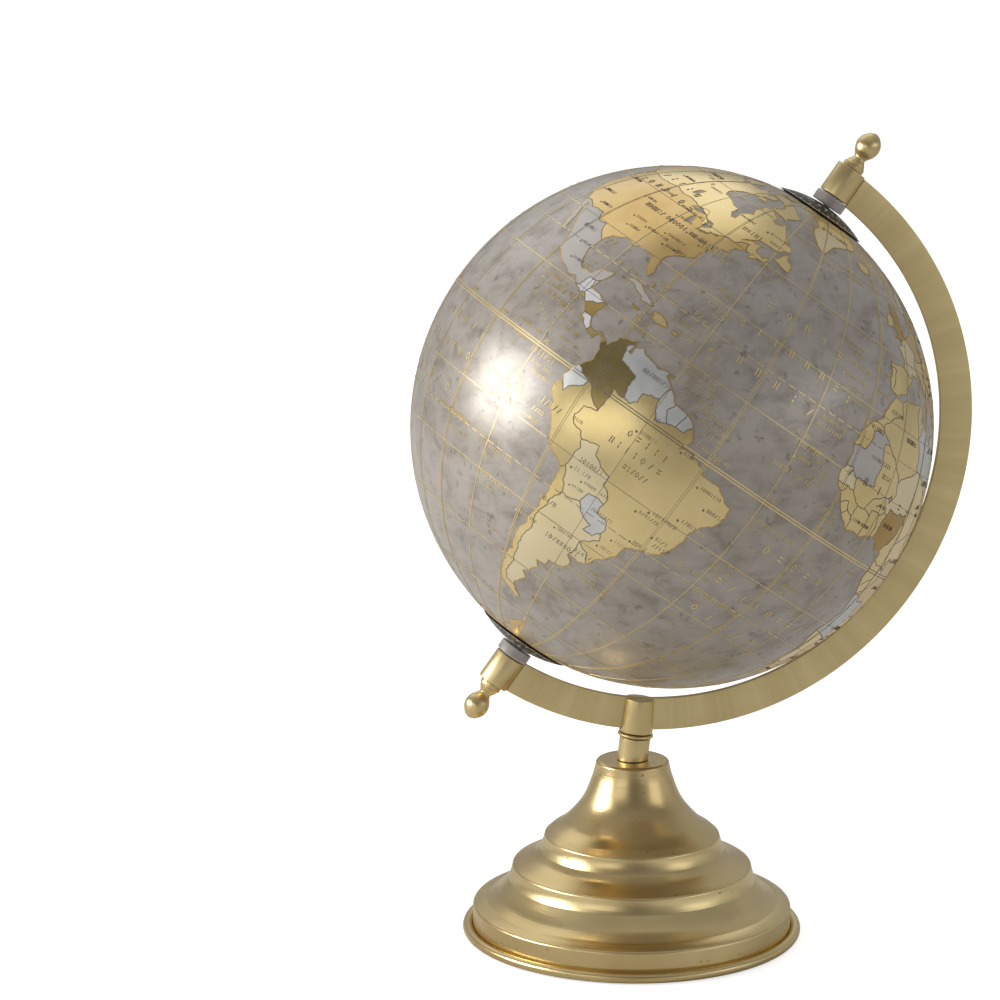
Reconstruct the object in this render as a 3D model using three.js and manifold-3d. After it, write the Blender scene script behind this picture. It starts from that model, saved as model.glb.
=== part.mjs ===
// A desktop globe: a ball turning on its polar axis in a half-circle arm, which stands on a
// spun brass base. Millimetres, +Z up. The origin is the centre of the base's underside, and the
// arm lies in the XZ plane with its bulge towards +X.
import * as THREE from "three";
import { mergeVertices } from "three/addons/utils/BufferGeometryUtils.js";
import Module from "manifold-3d";

const wasm = await Module();
wasm.setup();

// ---- Driving dimensions ----
const GAP = 0.3; // between pieces that touch
const SEGMENTS = 40; // facets round a large turned piece
const SMALL_SEGMENTS = 16; // facets round a small turned piece

const BALL_RADIUS = 100;
const SHELL_THICKNESS = 2.5;
const POLE_HOLE_RADIUS = 4;

const ARC_INNER = 107;
const ARC_OUTER = 119.7;
const ARC_THICKNESS = 2.4;

const AXIS_TILT = THREE.MathUtils.degToRad(29.4); // polar axis from the stem's axis
const STEM_LEAN = THREE.MathUtils.degToRad(6.2); // stem's axis from the vertical, towards the bulge

const BASE_HEIGHT = 70; // flat top of the bell
const SPUN_THICKNESS = 1.2;
const BELL_HOLE_RADIUS = 4;
const DRUM_RADIUS = 62.2;
const RIM_BEAD_RADIUS = 2;
const RIM_RADIUS = 66.2;

const STEM_RADIUS = 6;
const STEM_BORE = 3.2;
const STUD_RADIUS = 2.5;
const BALL_ABOVE_BELL = 132; // along the stem's axis, from the bell's top to the ball's centre

const PIN_RADIUS = 1.5;
const PIN_BORE = 1.8;
const BOSS_RADIUS = 6;
const BUSH_RADIUS = 6.5;

// ---- Materials ----
const brass = new THREE.MeshStandardMaterial({ color: 0xb49a5e, roughness: 0.32, metalness: 1 });
const brushedBrass = new THREE.MeshStandardMaterial({ color: 0xbfa56b, roughness: 0.42, metalness: 1 });
const steel = new THREE.MeshStandardMaterial({ color: 0x8d8f92, roughness: 0.35, metalness: 1 });
const castIron = new THREE.MeshStandardMaterial({ color: 0x3c3b3a, roughness: 0.8, metalness: 0.6 });
const felt = new THREE.MeshStandardMaterial({ color: 0x2f3a33, roughness: 1, metalness: 0 });
const clearPlastic = new THREE.MeshStandardMaterial({ color: 0xb9bcb9, roughness: 0.3, metalness: 0 });
const dialPlastic = new THREE.MeshStandardMaterial({ color: 0x3a3128, roughness: 0.35, metalness: 0 });
const ballSkin = new THREE.MeshStandardMaterial({ color: 0x9c9290, roughness: 0.25, metalness: 0.1 });
const ballLining = new THREE.MeshStandardMaterial({ color: 0x9a8f7c, roughness: 0.8, metalness: 0 });

// ---- Outline helpers: points are [radius, height] ----

// Points of an arc about a centre, from one angle in degrees to another.
function arc(centreR, centreZ, radius, fromDegrees, toDegrees, steps) {
  const points = [];
  for (let i = 0; i <= steps; i += 1) {
    const angle = THREE.MathUtils.degToRad(fromDegrees + ((toDegrees - fromDegrees) * i) / steps);
    points.push([centreR + radius * Math.cos(angle), centreZ + radius * Math.sin(angle)]);
  }
  return points;
}

// A smooth curve through a few points.
function sweep(points, steps) {
  const curve = new THREE.SplineCurve(points.map(([r, z]) => new THREE.Vector2(r, z)));
  return curve.getPoints(steps).map((p) => [p.x, p.y]);
}

// The outline moved sideways by a distance, to the left of its direction of travel.
function offset(points, distance) {
  return points.map(([r, z], i) => {
    const [r0, z0] = points[Math.max(i - 1, 0)];
    const [r1, z1] = points[Math.min(i + 1, points.length - 1)];
    const length = Math.hypot(r1 - r0, z1 - z0);
    return [r - ((z1 - z0) / length) * distance, z + ((r1 - r0) / length) * distance];
  });
}

// A solid turned about Z. The outline either starts and ends on the axis, or closes on itself.
function turned(outline, segments = SMALL_SEGMENTS) {
  const closed = outline[0][0] > 0 ? [...outline, outline[0]] : outline;
  let area = 0;
  closed.forEach(([r, z], i) => {
    const [nextR, nextZ] = closed[(i + 1) % closed.length];
    area += r * nextZ - nextR * z;
  });
  const ordered = area > 0 ? closed : [...closed].reverse();
  const profile = ordered.map(([r, z]) => new THREE.Vector2(r, z));
  return new THREE.LatheGeometry(profile, segments).rotateX(Math.PI / 2);
}

// A plain tube or, with no bore, a plain rod along Z.
function tube(radius, bore, low, high, segments = SMALL_SEGMENTS) {
  return turned([[bore, low], [radius, low], [radius, high], [bore, high]], segments);
}

function solid(geometry) {
  const bare = geometry.index ? geometry.toNonIndexed() : geometry.clone();
  bare.deleteAttribute("normal");
  bare.deleteAttribute("uv");
  const merged = mergeVertices(bare, 1e-3);
  return new wasm.Manifold(
    new wasm.Mesh({
      numProp: 3,
      vertProperties: merged.attributes.position.array,
      triVerts: new Uint32Array(merged.index.array),
    }),
  );
}

function geometryOf(manifold) {
  const mesh = manifold.getMesh();
  const geometry = new THREE.BufferGeometry();
  geometry.setAttribute("position", new THREE.BufferAttribute(mesh.vertProperties, 3));
  geometry.setIndex(new THREE.BufferAttribute(mesh.triVerts, 1));
  const flat = geometry.toNonIndexed();
  flat.computeVertexNormals();
  return flat;
}

function add(group, name, geometry, material) {
  const mesh = new THREE.Mesh(geometry, material);
  mesh.name = name;
  group.add(mesh);
  return mesh;
}

// ---- Base ----

// The outside of the spun base, from the foot of the drum's wall up to the hole in the bell's top.
function baseOutline() {
  const shoulder = 1.4; // radius of each step's rounded edge
  const drumFoot = 3;
  return [
    [DRUM_RADIUS, drumFoot],
    ...arc(DRUM_RADIUS - shoulder, 10.9, shoulder, 0, 70, 2),
    [57.4, 13.6],
    ...sweep([[56.6, 13.7], [52.4, 16.9], [48, 22.2]], 3),
    ...arc(46.8 - shoulder, 26.9, shoulder, 0, 65, 2),
    ...sweep([[42.5, 29.4], [38.6, 31.4], [35.8, 34]], 2),
    ...arc(34.3 - shoulder, 39.2, shoulder, 0, 60, 2),
    ...sweep([[31.6, 42.2], [26.3, 46], [19.6, 54], [15.8, 63], [14.3, 68.6]], 6),
    ...arc(12.9, 68.6, shoulder, 15, 90, 2),
    [BELL_HOLE_RADIUS, BASE_HEIGHT],
  ];
}

function baseShell() {
  const outside = baseOutline();
  const inside = offset(outside, SPUN_THICKNESS);
  inside[0] = [DRUM_RADIUS - SPUN_THICKNESS, outside[0][1]];
  inside[inside.length - 1] = [BELL_HOLE_RADIUS, BASE_HEIGHT - SPUN_THICKNESS];
  return turned([...outside, ...inside.reverse()], SEGMENTS);
}

// The disc that closes the base, with its edge rolled into a bead round the drum.
function baseTray() {
  const beadCentreR = RIM_RADIUS - RIM_BEAD_RADIUS;
  const beadCentreZ = 2.5;
  const sheetLow = 1.3;
  const sheetHigh = 2.5;
  return turned(
    [[0, sheetLow], ...arc(beadCentreR, beadCentreZ, RIM_BEAD_RADIUS, -143, 180, 8), [0, sheetHigh]],
    SEGMENTS,
  );
}

// A ring of ballast that lies on the tray, clear of the stud's nut.
function baseWeight() {
  const radius = 56;
  const bore = 14;
  const low = 2.8;
  const high = 8;
  return tube(radius, bore, low, high, SEGMENTS);
}

function feltPad() {
  const radius = 59;
  const thickness = 1;
  return turned([[0, 0], [radius, 0], [radius, thickness], [0, thickness]], SEGMENTS);
}

const stand = new THREE.Group();
add(stand, "base_shell", baseShell(), brass);
add(stand, "base_tray", baseTray(), brass);
add(stand, "base_weight", baseWeight(), castIron);
add(stand, "felt_pad", feltPad(), felt);

// ---- Arm: everything that turns on the base about the bell's own axis ----
const arm = new THREE.Group();
arm.position.z = BASE_HEIGHT;
const leaning = new THREE.Group();
leaning.rotation.y = STEM_LEAN;
arm.add(leaning);

// Heights from the bell's top, with the stem's ones along its own axis.
const washerThickness = 1;
const washerTop = -SPUN_THICKNESS - GAP;
const washerLow = washerTop - washerThickness;
const nutTop = washerLow - GAP;
const nutLow = nutTop - 4;
const studLow = -10;
const studBore = STUD_RADIUS + GAP;
const slotLow = BALL_ABOVE_BELL - ARC_OUTER - GAP;
const footBossHeight = 13.5;
const footBossHigh = BALL_ABOVE_BELL - ARC_INNER - 0.4;
const footBossLow = footBossHigh - footBossHeight;
const collarLow = 9.3;
const collarHigh = footBossLow - GAP;

const washerRadius = 7.5;
add(arm, "stud_washer", tube(washerRadius, studBore, washerLow, washerTop), steel);

function studNut() {
  const cornerRadius = 4.7;
  const hexagon = solid(tube(cornerRadius, 0, nutLow, nutTop, 6));
  const bore = solid(tube(studBore, 0, nutLow - 1, nutTop + 1));
  return geometryOf(hexagon.subtract(bore));
}
add(arm, "stud_nut", studNut(), steel);

// The stud is straight below the bell's top and bent over where it leaves it.
function centreStud() {
  const below = solid(tube(STUD_RADIUS, 0, studLow, 0));
  const above = solid(tube(STUD_RADIUS, 0, 0, slotLow - GAP).rotateY(STEM_LEAN));
  const bend = solid(new THREE.SphereGeometry(STUD_RADIUS, SMALL_SEGMENTS, 8).rotateX(Math.PI / 2));
  return geometryOf(below.add(above).add(bend));
}
add(arm, "centre_stud", centreStud(), steel);

// The sleeve's foot is cut level with the bell's flat top.
function stemSleeve() {
  const spare = 2; // how far the uncut tube reaches below the bell's top
  const width = 4 * STEM_RADIUS;
  const sleeve = solid(tube(STEM_RADIUS, STEM_BORE, -spare, collarLow - GAP).rotateY(STEM_LEAN));
  const below = solid(new THREE.BoxGeometry(width, width, 2 * spare).translate(0, 0, GAP - spare));
  return geometryOf(sleeve.subtract(below));
}
add(arm, "stem_sleeve", stemSleeve(), brushedBrass);

function stemCollar() {
  const radius = 6.2;
  const height = collarHigh - collarLow;
  const middle = (collarHigh + collarLow) / 2;
  return turned([
    [STEM_BORE, collarLow],
    [radius, collarLow],
    ...arc(radius, middle, height / 2, -60, 60, 3),
    [radius, collarHigh],
    [STEM_BORE, collarHigh],
  ]);
}
add(leaning, "stem_collar", stemCollar(), brushedBrass);

// A tapered boss, slotted from the top for the arm's bar, over a drilled floor for the stud.
function footBoss() {
  const lowRadius = 6.5;
  const highRadius = 5.8;
  const body = solid(turned([
    [studBore, footBossLow],
    [lowRadius, footBossLow],
    [highRadius, footBossHigh],
    [studBore, footBossHigh],
  ]));
  const slotLength = 3 * lowRadius;
  const slotHeight = footBossHeight + 1;
  const slot = solid(new THREE.BoxGeometry(slotLength, ARC_THICKNESS + 2 * GAP, slotHeight)
    .translate(0, 0, slotLow + slotHeight / 2));
  return geometryOf(body.subtract(slot));
}
add(leaning, "foot_boss", footBoss(), brushedBrass);

// ---- Polar parts, along the polar axis from the ball's centre ----
const polar = new THREE.Group();
polar.position.z = BALL_ABOVE_BELL;
polar.rotation.y = AXIS_TILT;
leaning.add(polar);

// A flat half-circle bar whose ends meet the two bosses.
function meridianArc() {
  const clearance = BOSS_RADIUS + GAP;
  const outerEnd = Math.PI / 2 - Math.asin(clearance / ARC_OUTER);
  const innerEnd = Math.PI / 2 - Math.asin(clearance / ARC_INNER);
  const outline = new THREE.Shape();
  outline.absarc(0, 0, ARC_OUTER, -outerEnd, outerEnd, false);
  outline.absarc(0, 0, ARC_INNER, innerEnd, -innerEnd, true);
  outline.closePath();
  const bar = new THREE.ExtrudeGeometry(outline, {
    depth: ARC_THICKNESS,
    bevelEnabled: false,
    curveSegments: 36,
  });
  return bar.rotateX(Math.PI / 2).translate(0, ARC_THICKNESS / 2, 0);
}
add(polar, "meridian_arc", meridianArc(), brushedBrass);

// Heights along the polar axis, outwards from the ball's centre.
const dialRim = 98.9;
const dialRadius = 18.5;
const bushLow = 103.2;
const bushHigh = 107.3;
const bossLow = bushHigh + GAP;
const bossHigh = 120;
const finialLow = bossHigh + GAP;
const finialHigh = 136.2;
const pinLow = 88;
const pinHigh = 126;

// A shallow dome, open underneath, with a hole for the pin at its crown.
function dial() {
  const crown = bushLow - GAP;
  const rise = crown - dialRim;
  const domeRadius = (dialRadius ** 2 + rise ** 2) / (2 * rise);
  const rimAngle = THREE.MathUtils.radToDeg(Math.acos(dialRadius / domeRadius));
  const holeAngle = THREE.MathUtils.radToDeg(Math.acos(PIN_BORE / domeRadius));
  const thickness = 0.8;
  const rimBevel = 2.5; // degrees, so that the rim's underside clears the ball
  return turned([
    ...arc(0, crown - domeRadius, domeRadius, rimAngle, holeAngle, 3),
    ...arc(0, crown - domeRadius, domeRadius - thickness, holeAngle, rimAngle + rimBevel, 3),
  ], SEGMENTS);
}

function bush() {
  const bevel = 0.9;
  return turned([
    [PIN_BORE, bushLow],
    [BUSH_RADIUS, bushLow],
    [BUSH_RADIUS, bushHigh - bevel],
    [BUSH_RADIUS - bevel, bushHigh],
    [PIN_BORE, bushHigh],
  ]);
}

// An egg on a short neck, over a flange that rests on the boss.
function finial() {
  const flangeRadius = 4.3;
  const flangeHigh = finialLow + 1.8;
  return turned([
    [PIN_BORE, finialLow],
    [flangeRadius, finialLow],
    [flangeRadius, flangeHigh],
    [3.7, flangeHigh + 0.4],
    ...sweep([[3.5, 123.1], [2.6, 124.4], [2.5, 125.4], [4.1, 127.9], [4.75, 130.5], [4.1, 133.2],
      [2.2, 135.5]], 9),
    [0, finialHigh],
    [0, pinHigh + GAP],
    [PIN_BORE, pinHigh + GAP],
  ]);
}

// A flanged plug in the ball's pole hole, bored for the pin.
function poleSocket() {
  const low = 90;
  const high = 99.6;
  const flangeRadius = 7;
  const plugRadius = POLE_HOLE_RADIUS - GAP;
  const flangeHigh = Math.sqrt((BALL_RADIUS - SHELL_THICKNESS) ** 2 - POLE_HOLE_RADIUS ** 2) - 1;
  return turned([
    [PIN_BORE, low],
    [flangeRadius, low],
    [flangeRadius, flangeHigh],
    [plugRadius, flangeHigh],
    [plugRadius, high],
    [PIN_BORE, high],
  ]);
}

const poles = [["north", 0], ["south", Math.PI]];
const globe = new THREE.Group();
polar.add(globe);
for (const [pole, turn] of poles) {
  const end = new THREE.Group();
  end.rotation.y = turn;
  polar.add(end);
  add(end, pole + "_boss", tube(BOSS_RADIUS, PIN_BORE, bossLow, bossHigh), brushedBrass);
  add(end, pole + "_bush", bush(), clearPlastic);
  add(end, pole + "_pin", tube(PIN_RADIUS, 0, pinLow, pinHigh, 12), steel);
  add(end, pole + "_finial", finial(), brass);
  add(end, pole + "_dial", dial(), dialPlastic);
}

// Half the ball: a shell from the equator to the hole at the pole.
function hemisphere() {
  const steps = 9;
  const inner = BALL_RADIUS - SHELL_THICKNESS;
  const gapHalf = GAP / 2;
  const lowAngle = (radius) => THREE.MathUtils.radToDeg(Math.asin(gapHalf / radius));
  const highAngle = (radius) => THREE.MathUtils.radToDeg(Math.acos(POLE_HOLE_RADIUS / radius));
  return turned([
    ...arc(0, 0, BALL_RADIUS, lowAngle(BALL_RADIUS), highAngle(BALL_RADIUS), steps),
    ...arc(0, 0, inner, highAngle(inner), lowAngle(inner), steps),
  ], SEGMENTS);
}

for (const [pole, turn] of poles) {
  const half = new THREE.Group();
  half.rotation.y = turn;
  globe.add(half);
  add(half, pole + "_hemisphere", hemisphere(), ballSkin);
  add(half, pole + "_pole_socket", poleSocket(), ballLining);
}

// The band that joins the two halves on the inside.
function equatorRing() {
  const radius = 96.6;
  const thickness = 2.4;
  const halfWidth = 6;
  return tube(radius, radius - thickness, -halfWidth, halfWidth, SEGMENTS);
}
add(globe, "equator_ring", equatorRing(), ballLining);

const group = new THREE.Group();
group.name = "desktop_globe";
group.add(stand, arm);

export default group;
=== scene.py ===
import math
import random

import bmesh
import bpy
from mathutils import Matrix, Vector
from mathutils.bvhtree import BVHTree
from mathutils.geometry import delaunay_2d_cdt

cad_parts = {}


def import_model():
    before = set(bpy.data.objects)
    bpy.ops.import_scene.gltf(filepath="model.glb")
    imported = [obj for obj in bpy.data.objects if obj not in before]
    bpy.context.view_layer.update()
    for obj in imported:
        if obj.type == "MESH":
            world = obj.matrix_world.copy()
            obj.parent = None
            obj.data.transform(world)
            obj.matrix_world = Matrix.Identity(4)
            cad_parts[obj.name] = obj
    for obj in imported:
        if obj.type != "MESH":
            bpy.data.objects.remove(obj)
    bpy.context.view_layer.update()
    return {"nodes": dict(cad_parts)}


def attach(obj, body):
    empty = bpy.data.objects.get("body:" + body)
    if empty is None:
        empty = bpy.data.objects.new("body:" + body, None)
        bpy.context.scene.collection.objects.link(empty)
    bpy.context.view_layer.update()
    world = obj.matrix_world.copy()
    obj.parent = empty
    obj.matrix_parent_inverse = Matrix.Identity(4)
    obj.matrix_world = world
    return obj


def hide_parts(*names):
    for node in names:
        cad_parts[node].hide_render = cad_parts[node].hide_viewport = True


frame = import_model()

MM = 0.001

# ---- Dimensions in millimetres, as in the CAD ----
GAP = 0.3
BALL_RADIUS = 100
ARC_INNER = 107
ARC_OUTER = 119.7
ARC_THICKNESS = 2.4
BASE_HEIGHT = 70
SPUN_THICKNESS = 1.2
BELL_HOLE_RADIUS = 4
DRUM_RADIUS = 62.2
RIM_RADIUS = 66.2
RIM_BEAD_RADIUS = 2
STEM_RADIUS = 6
STEM_BORE = 3.2
STUD_RADIUS = 2.5
BALL_ABOVE_BELL = 132
PIN_BORE = 1.8
BOSS_RADIUS = 6
BOSS_LOW = 107.6
BOSS_HIGH = 120
DIAL_RADIUS = 18.5
DIAL_RIM = 98.9
DIAL_CROWN = 102.9
DIAL_THICKNESS = 0.8
BALL_WALL = 2.5
POLE_HOLE_RADIUS = 4
FOOT_LOW = BALL_ABOVE_BELL - 120.9
FOOT_HIGH = BALL_ABOVE_BELL - 107.4

AXIS_TILT = math.radians(29.4)
STEM_LEAN = math.radians(6.2)
MAP_TURN = math.radians(307.6)  # where the map's zero meridian lies about the polar axis

# ---- Places ----
ROW = Matrix.Identity(4)
BELL_TOP = Matrix.Translation((0, 0, BASE_HEIGHT * MM))
LEANING = BELL_TOP @ Matrix.Rotation(STEM_LEAN, 4, "Y")
POLAR = LEANING @ Matrix.Translation((0, 0, BALL_ABOVE_BELL * MM)) @ Matrix.Rotation(AXIS_TILT, 4, "Y")
SOUTHWARD = POLAR @ Matrix.Rotation(math.pi, 4, "Y")
MAP = POLAR @ Matrix.Rotation(MAP_TURN, 4, "Z")
POLES = (("north", POLAR), ("south", SOUTHWARD))


# ---- Shader helpers ----
class Wiring:
    """A node tree being wired: node() adds a node and sets its inputs, by value or by link."""

    def __init__(self, tree):
        self.tree = tree

    def plug(self, node, inputs):
        for key, value in inputs.items():
            socket = node.inputs[key]
            if isinstance(value, bpy.types.NodeSocket):
                self.tree.links.new(value, socket)
            else:
                socket.default_value = value

    def node(self, kind, inputs=None, **settings):
        made = self.tree.nodes.new("ShaderNode" + kind)
        for key, value in settings.items():
            setattr(made, key, value)
        self.plug(made, inputs or {})
        return made

    def ramp(self, factor, *stops):
        """stops are (position, colour)."""
        made = self.node("ValToRGB", {"Fac": factor})
        elements = made.color_ramp.elements
        while len(elements) < len(stops):
            elements.new(0.5)
        for element, (position, colour) in zip(elements, stops):
            element.position = position
            element.color = (*colour, 1)
        return made.outputs["Color"]

    def greys(self, factor, stops):
        """stops are (position, grey value)."""
        return self.ramp(factor, *((position, grey(value)) for position, value in stops))

    def share(self, value, low, high):
        """How far the value is from low to high."""
        return self.node("MapRange", {"Value": value, "From Min": low, "From Max": high}).outputs["Result"]

    def show(self, output, seen, lighting):
        """One shader for what the camera sees, and another for what lights and shows in the object."""
        ray = self.node("LightPath").outputs["Is Camera Ray"]
        mix = self.node("MixShader", {"Fac": ray, 1: lighting, 2: seen})
        self.plug(self.tree.nodes[output], {"Surface": mix.outputs["Shader"]})


class Shader(Wiring):
    """A material on its way: its node tree, with the object's own coordinates and noise at hand."""

    def __init__(self, name):
        self.material = bpy.data.materials.new(name)
        self.material.use_nodes = True
        super().__init__(self.material.node_tree)
        self.surface = self.tree.nodes["Principled BSDF"]

    def coordinates(self, stretch=(1, 1, 1)):
        source = self.node("TexCoord").outputs["Object"]
        return self.node("Mapping", {"Vector": source, "Scale": stretch}).outputs["Vector"]

    def noise(self, scale, detail=2.0, roughness=0.5, stretch=(1, 1, 1), distortion=0.0):
        """Noise whose scale is in features per metre."""
        inputs = {"Vector": self.coordinates(stretch), "Scale": scale, "Detail": detail,
                  "Roughness": roughness, "Distortion": distortion}
        return self.node("TexNoise", inputs).outputs["Fac"]

    def scaled(self, factor, low, high):
        return self.node("MapRange", {"Value": factor, "To Min": low, "To Max": high}).outputs["Result"]

    def bump(self, height, distance):
        inputs = {"Height": height, "Distance": distance, "Strength": 1.0}
        return self.node("Bump", inputs).outputs["Normal"]

    def finish(self, **inputs):
        self.plug(self.surface, {key.replace("_", " "): value for key, value in inputs.items()})
        return self.material


def grey(value):
    return (value, value, value)


# ---- Materials ----
BRASS = (0.80, 0.645, 0.335)
BRASS_WORN = (0.66, 0.50, 0.24)


def turned_brass(name, roughness, line_scale, line_depth):
    """Brass with fine concentric lines about the piece's own Z axis."""
    s = Shader(name)
    position = s.node("SeparateXYZ", {"Vector": s.node("TexCoord").outputs["Object"]})
    radius = s.node("VectorMath", {0: s.coordinates((1, 1, 0))}, operation="LENGTH").outputs["Value"]
    outline = s.node("CombineXYZ", {"X": radius, "Z": position.outputs["Z"]}).outputs["Vector"]
    lines = s.node("TexNoise", {"Vector": outline, "Scale": line_scale, "Detail": 3.0, "Roughness": 0.6})
    clouds = s.noise(22, detail=3.0)
    specks = s.noise(520, detail=1.0)
    colour = s.ramp(clouds, (0.35, BRASS_WORN), (0.62, BRASS))
    speck_mask = s.ramp(specks, (0.215, grey(0)), (0.235, grey(1)))
    speckled = s.node("MixRGB", {"Fac": speck_mask, "Color1": (0.30, 0.17, 0.07, 1), "Color2": colour})
    tangent = s.node("Tangent", direction_type="RADIAL", axis="Z").outputs["Tangent"]
    return s.finish(
        Base_Color=speckled.outputs["Color"], Metallic=1.0, Tangent=tangent, Anisotropic=0.55,
        Roughness=s.scaled(clouds, roughness * 0.85, roughness * 1.2),
        Normal=s.bump(lines.outputs["Fac"], line_depth),
    )


def brushed_brass(name):
    """Brass brushed across the arm's bar: lines that run out from the arc's centre, with fainter bands."""
    s = Shader(name)
    position = s.node("SeparateXYZ", {"Vector": s.node("TexCoord").outputs["Object"]}).outputs
    turn = s.node("Math", {0: position["Z"], 1: position["X"]}, operation="ARCTAN2").outputs["Value"]
    around = s.node("CombineXYZ", {"X": turn}).outputs["Vector"]

    def streaks(scale, roughness):
        inputs = {"Vector": around, "Scale": scale, "Detail": 5.0, "Roughness": roughness}
        return s.node("TexNoise", inputs).outputs["Fac"]

    lines = streaks(160.0, 0.7)
    bands = streaks(9.0, 0.65)
    clouds = s.noise(40, detail=4.0)
    brushed = s.ramp(bands, (0.36, (0.70, 0.555, 0.27)), (0.64, (0.85, 0.70, 0.38)))
    cloudy = s.node("MixRGB", {"Fac": s.scaled(clouds, 0.0, 0.35), "Color1": brushed,
                               "Color2": (0.66, 0.52, 0.25, 1)})
    return s.finish(
        Base_Color=cloudy.outputs["Color"], Metallic=1.0, Roughness=s.scaled(bands, 0.34, 0.48),
        Normal=s.bump(lines, 0.00004),
    )


def steel():
    s = Shader("satin_steel")
    grain = s.noise(1500, detail=2.0, stretch=(1, 1, 0.05))
    return s.finish(
        Base_Color=s.ramp(grain, (0.3, grey(0.46)), (0.7, grey(0.6))), Metallic=1.0,
        Roughness=s.scaled(grain, 0.28, 0.42), Normal=s.bump(grain, 0.00002),
    )


def cast_iron():
    s = Shader("cast_iron")
    pits = s.noise(600, detail=4.0, roughness=0.7)
    return s.finish(
        Base_Color=s.ramp(pits, (0.3, grey(0.035)), (0.7, grey(0.075))), Metallic=0.6,
        Roughness=s.scaled(pits, 0.6, 0.85), Normal=s.bump(pits, 0.0003),
    )


def felt():
    s = Shader("green_felt")
    fibres = s.noise(2600, detail=4.0, roughness=0.75, distortion=1.5)
    return s.finish(
        Base_Color=s.ramp(fibres, (0.3, (0.012, 0.024, 0.016)), (0.7, (0.045, 0.07, 0.05))),
        Roughness=0.95, Sheen_Weight=0.4, Normal=s.bump(fibres, 0.0004),
    )


def cardboard():
    s = Shader("ball_lining")
    pulp = s.noise(700, detail=4.0, roughness=0.7)
    return s.finish(
        Base_Color=s.ramp(pulp, (0.3, (0.30, 0.25, 0.17)), (0.7, (0.42, 0.35, 0.25))),
        Roughness=0.85, Normal=s.bump(pulp, 0.0002),
    )


def clear_plastic():
    s = Shader("clear_plastic")
    haze = s.noise(240, detail=2.0)
    return s.finish(
        Base_Color=s.ramp(haze, (0.3, (0.60, 0.53, 0.50)), (0.7, (0.72, 0.66, 0.63))),
        Roughness=s.scaled(haze, 0.14, 0.3), Transmission_Weight=0.45, IOR=1.46,
    )


def dial_plastic():
    s = Shader("dial_plastic")
    grain = s.noise(500, detail=3.0)
    return s.finish(
        Base_Color=s.ramp(grain, (0.3, (0.012, 0.010, 0.008)), (0.7, (0.028, 0.022, 0.017))),
        Roughness=s.scaled(grain, 0.25, 0.4), Specular_IOR_Level=0.3,
    )


def marbled_lacquer():
    """Pearly taupe lacquer: soft clouds, a mottle of small smudges, and a few fine dark flecks."""
    s = Shader("marbled_lacquer")
    clouds = s.noise(16, detail=4.0, roughness=0.55, distortion=0.4)
    mottle = s.noise(95, detail=5.0, roughness=0.62, distortion=0.5, stretch=(1, 1, 1.5))
    flecks = s.noise(230, detail=3.0, roughness=0.6)
    ground = s.ramp(clouds, (0.3, (0.43, 0.38, 0.325)), (0.5, (0.47, 0.425, 0.375)),
                    (0.7, (0.50, 0.46, 0.42)))
    smudges = s.ramp(mottle, (0.32, grey(0.55)), (0.46, grey(0.2)), (0.58, grey(0)))
    mottled = s.node("MixRGB", {"Fac": smudges, "Color1": ground, "Color2": (0.19, 0.155, 0.12, 1)})
    fleck_mask = s.ramp(flecks, (0.30, grey(0.5)), (0.39, grey(0)))
    flecked = s.node("MixRGB", {"Fac": fleck_mask, "Color1": mottled.outputs["Color"],
                                "Color2": (0.13, 0.10, 0.07, 1)})
    return s.finish(
        Base_Color=flecked.outputs["Color"], Metallic=0.3, Roughness=s.scaled(clouds, 0.32, 0.4),
        Coat_Weight=0.3, Coat_Roughness=0.18,
    )


def gold_leaf(name, low, high, roughness, metallic=1.0, glitter=0.00002):
    """Foil with slightly cloudy colour and a fine glitter."""
    s = Shader(name)
    clouds = s.noise(34, detail=4.0, roughness=0.6)
    grains = s.noise(1700, detail=2.0, roughness=0.7)
    return s.finish(
        Base_Color=s.ramp(clouds, (0.35, low), (0.65, high)), Metallic=metallic,
        Roughness=s.scaled(clouds, roughness * 0.8, roughness * 1.2), Normal=s.bump(grains, glitter),
    )


SPUN_BRASS = turned_brass("spun_brass", 0.25, 1400, 0.00003)
TURNED_BRASS = turned_brass("turned_brass", 0.31, 2200, 0.00002)
BRUSHED_BRASS = brushed_brass("brushed_brass")
STEEL = steel()
CAST_IRON = cast_iron()
FELT = felt()
CARDBOARD = cardboard()
CLEAR_PLASTIC = clear_plastic()
DIAL_PLASTIC = dial_plastic()
LACQUER = marbled_lacquer()
GOLD_PRINT = gold_leaf("gold_print", (0.82, 0.63, 0.28), (0.92, 0.74, 0.38), 0.36, 0.75)
ENGRAVED_BRASS = gold_leaf("engraved_brass", (0.40, 0.30, 0.13), (0.50, 0.38, 0.17), 0.45)
DIAL_PRINT = gold_leaf("dial_print", (0.86, 0.78, 0.58), (0.92, 0.86, 0.68), 0.4, 0.1)
DARK_INK = gold_leaf("dark_ink", (0.16, 0.12, 0.08), (0.24, 0.19, 0.13), 0.5, 0.2)


# ---- Outline helpers: points are (radius, height) in millimetres ----
def arc(centre_r, centre_z, radius, start, end, steps=8):
    """Points of an arc about a centre, from one angle in degrees to another."""
    angles = [math.radians(start + (end - start) * i / steps) for i in range(steps + 1)]
    return [(centre_r + radius * math.cos(a), centre_z + radius * math.sin(a)) for a in angles]


def sweep(points, steps):
    """A smooth curve through a few points (uniform Catmull-Rom, as in the CAD)."""
    made = []
    spans = len(points) - 1
    for i in range(steps + 1):
        place = spans * i / steps
        k = min(int(place), spans - 1)
        t = place - k
        before = points[k if k == 0 else k - 1]
        start = points[k]
        end = points[k + 1]
        after = points[min(k + 2, spans)]
        made.append(tuple(catmull_rom(t, *values) for values in zip(before, start, end, after)))
    return made


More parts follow.
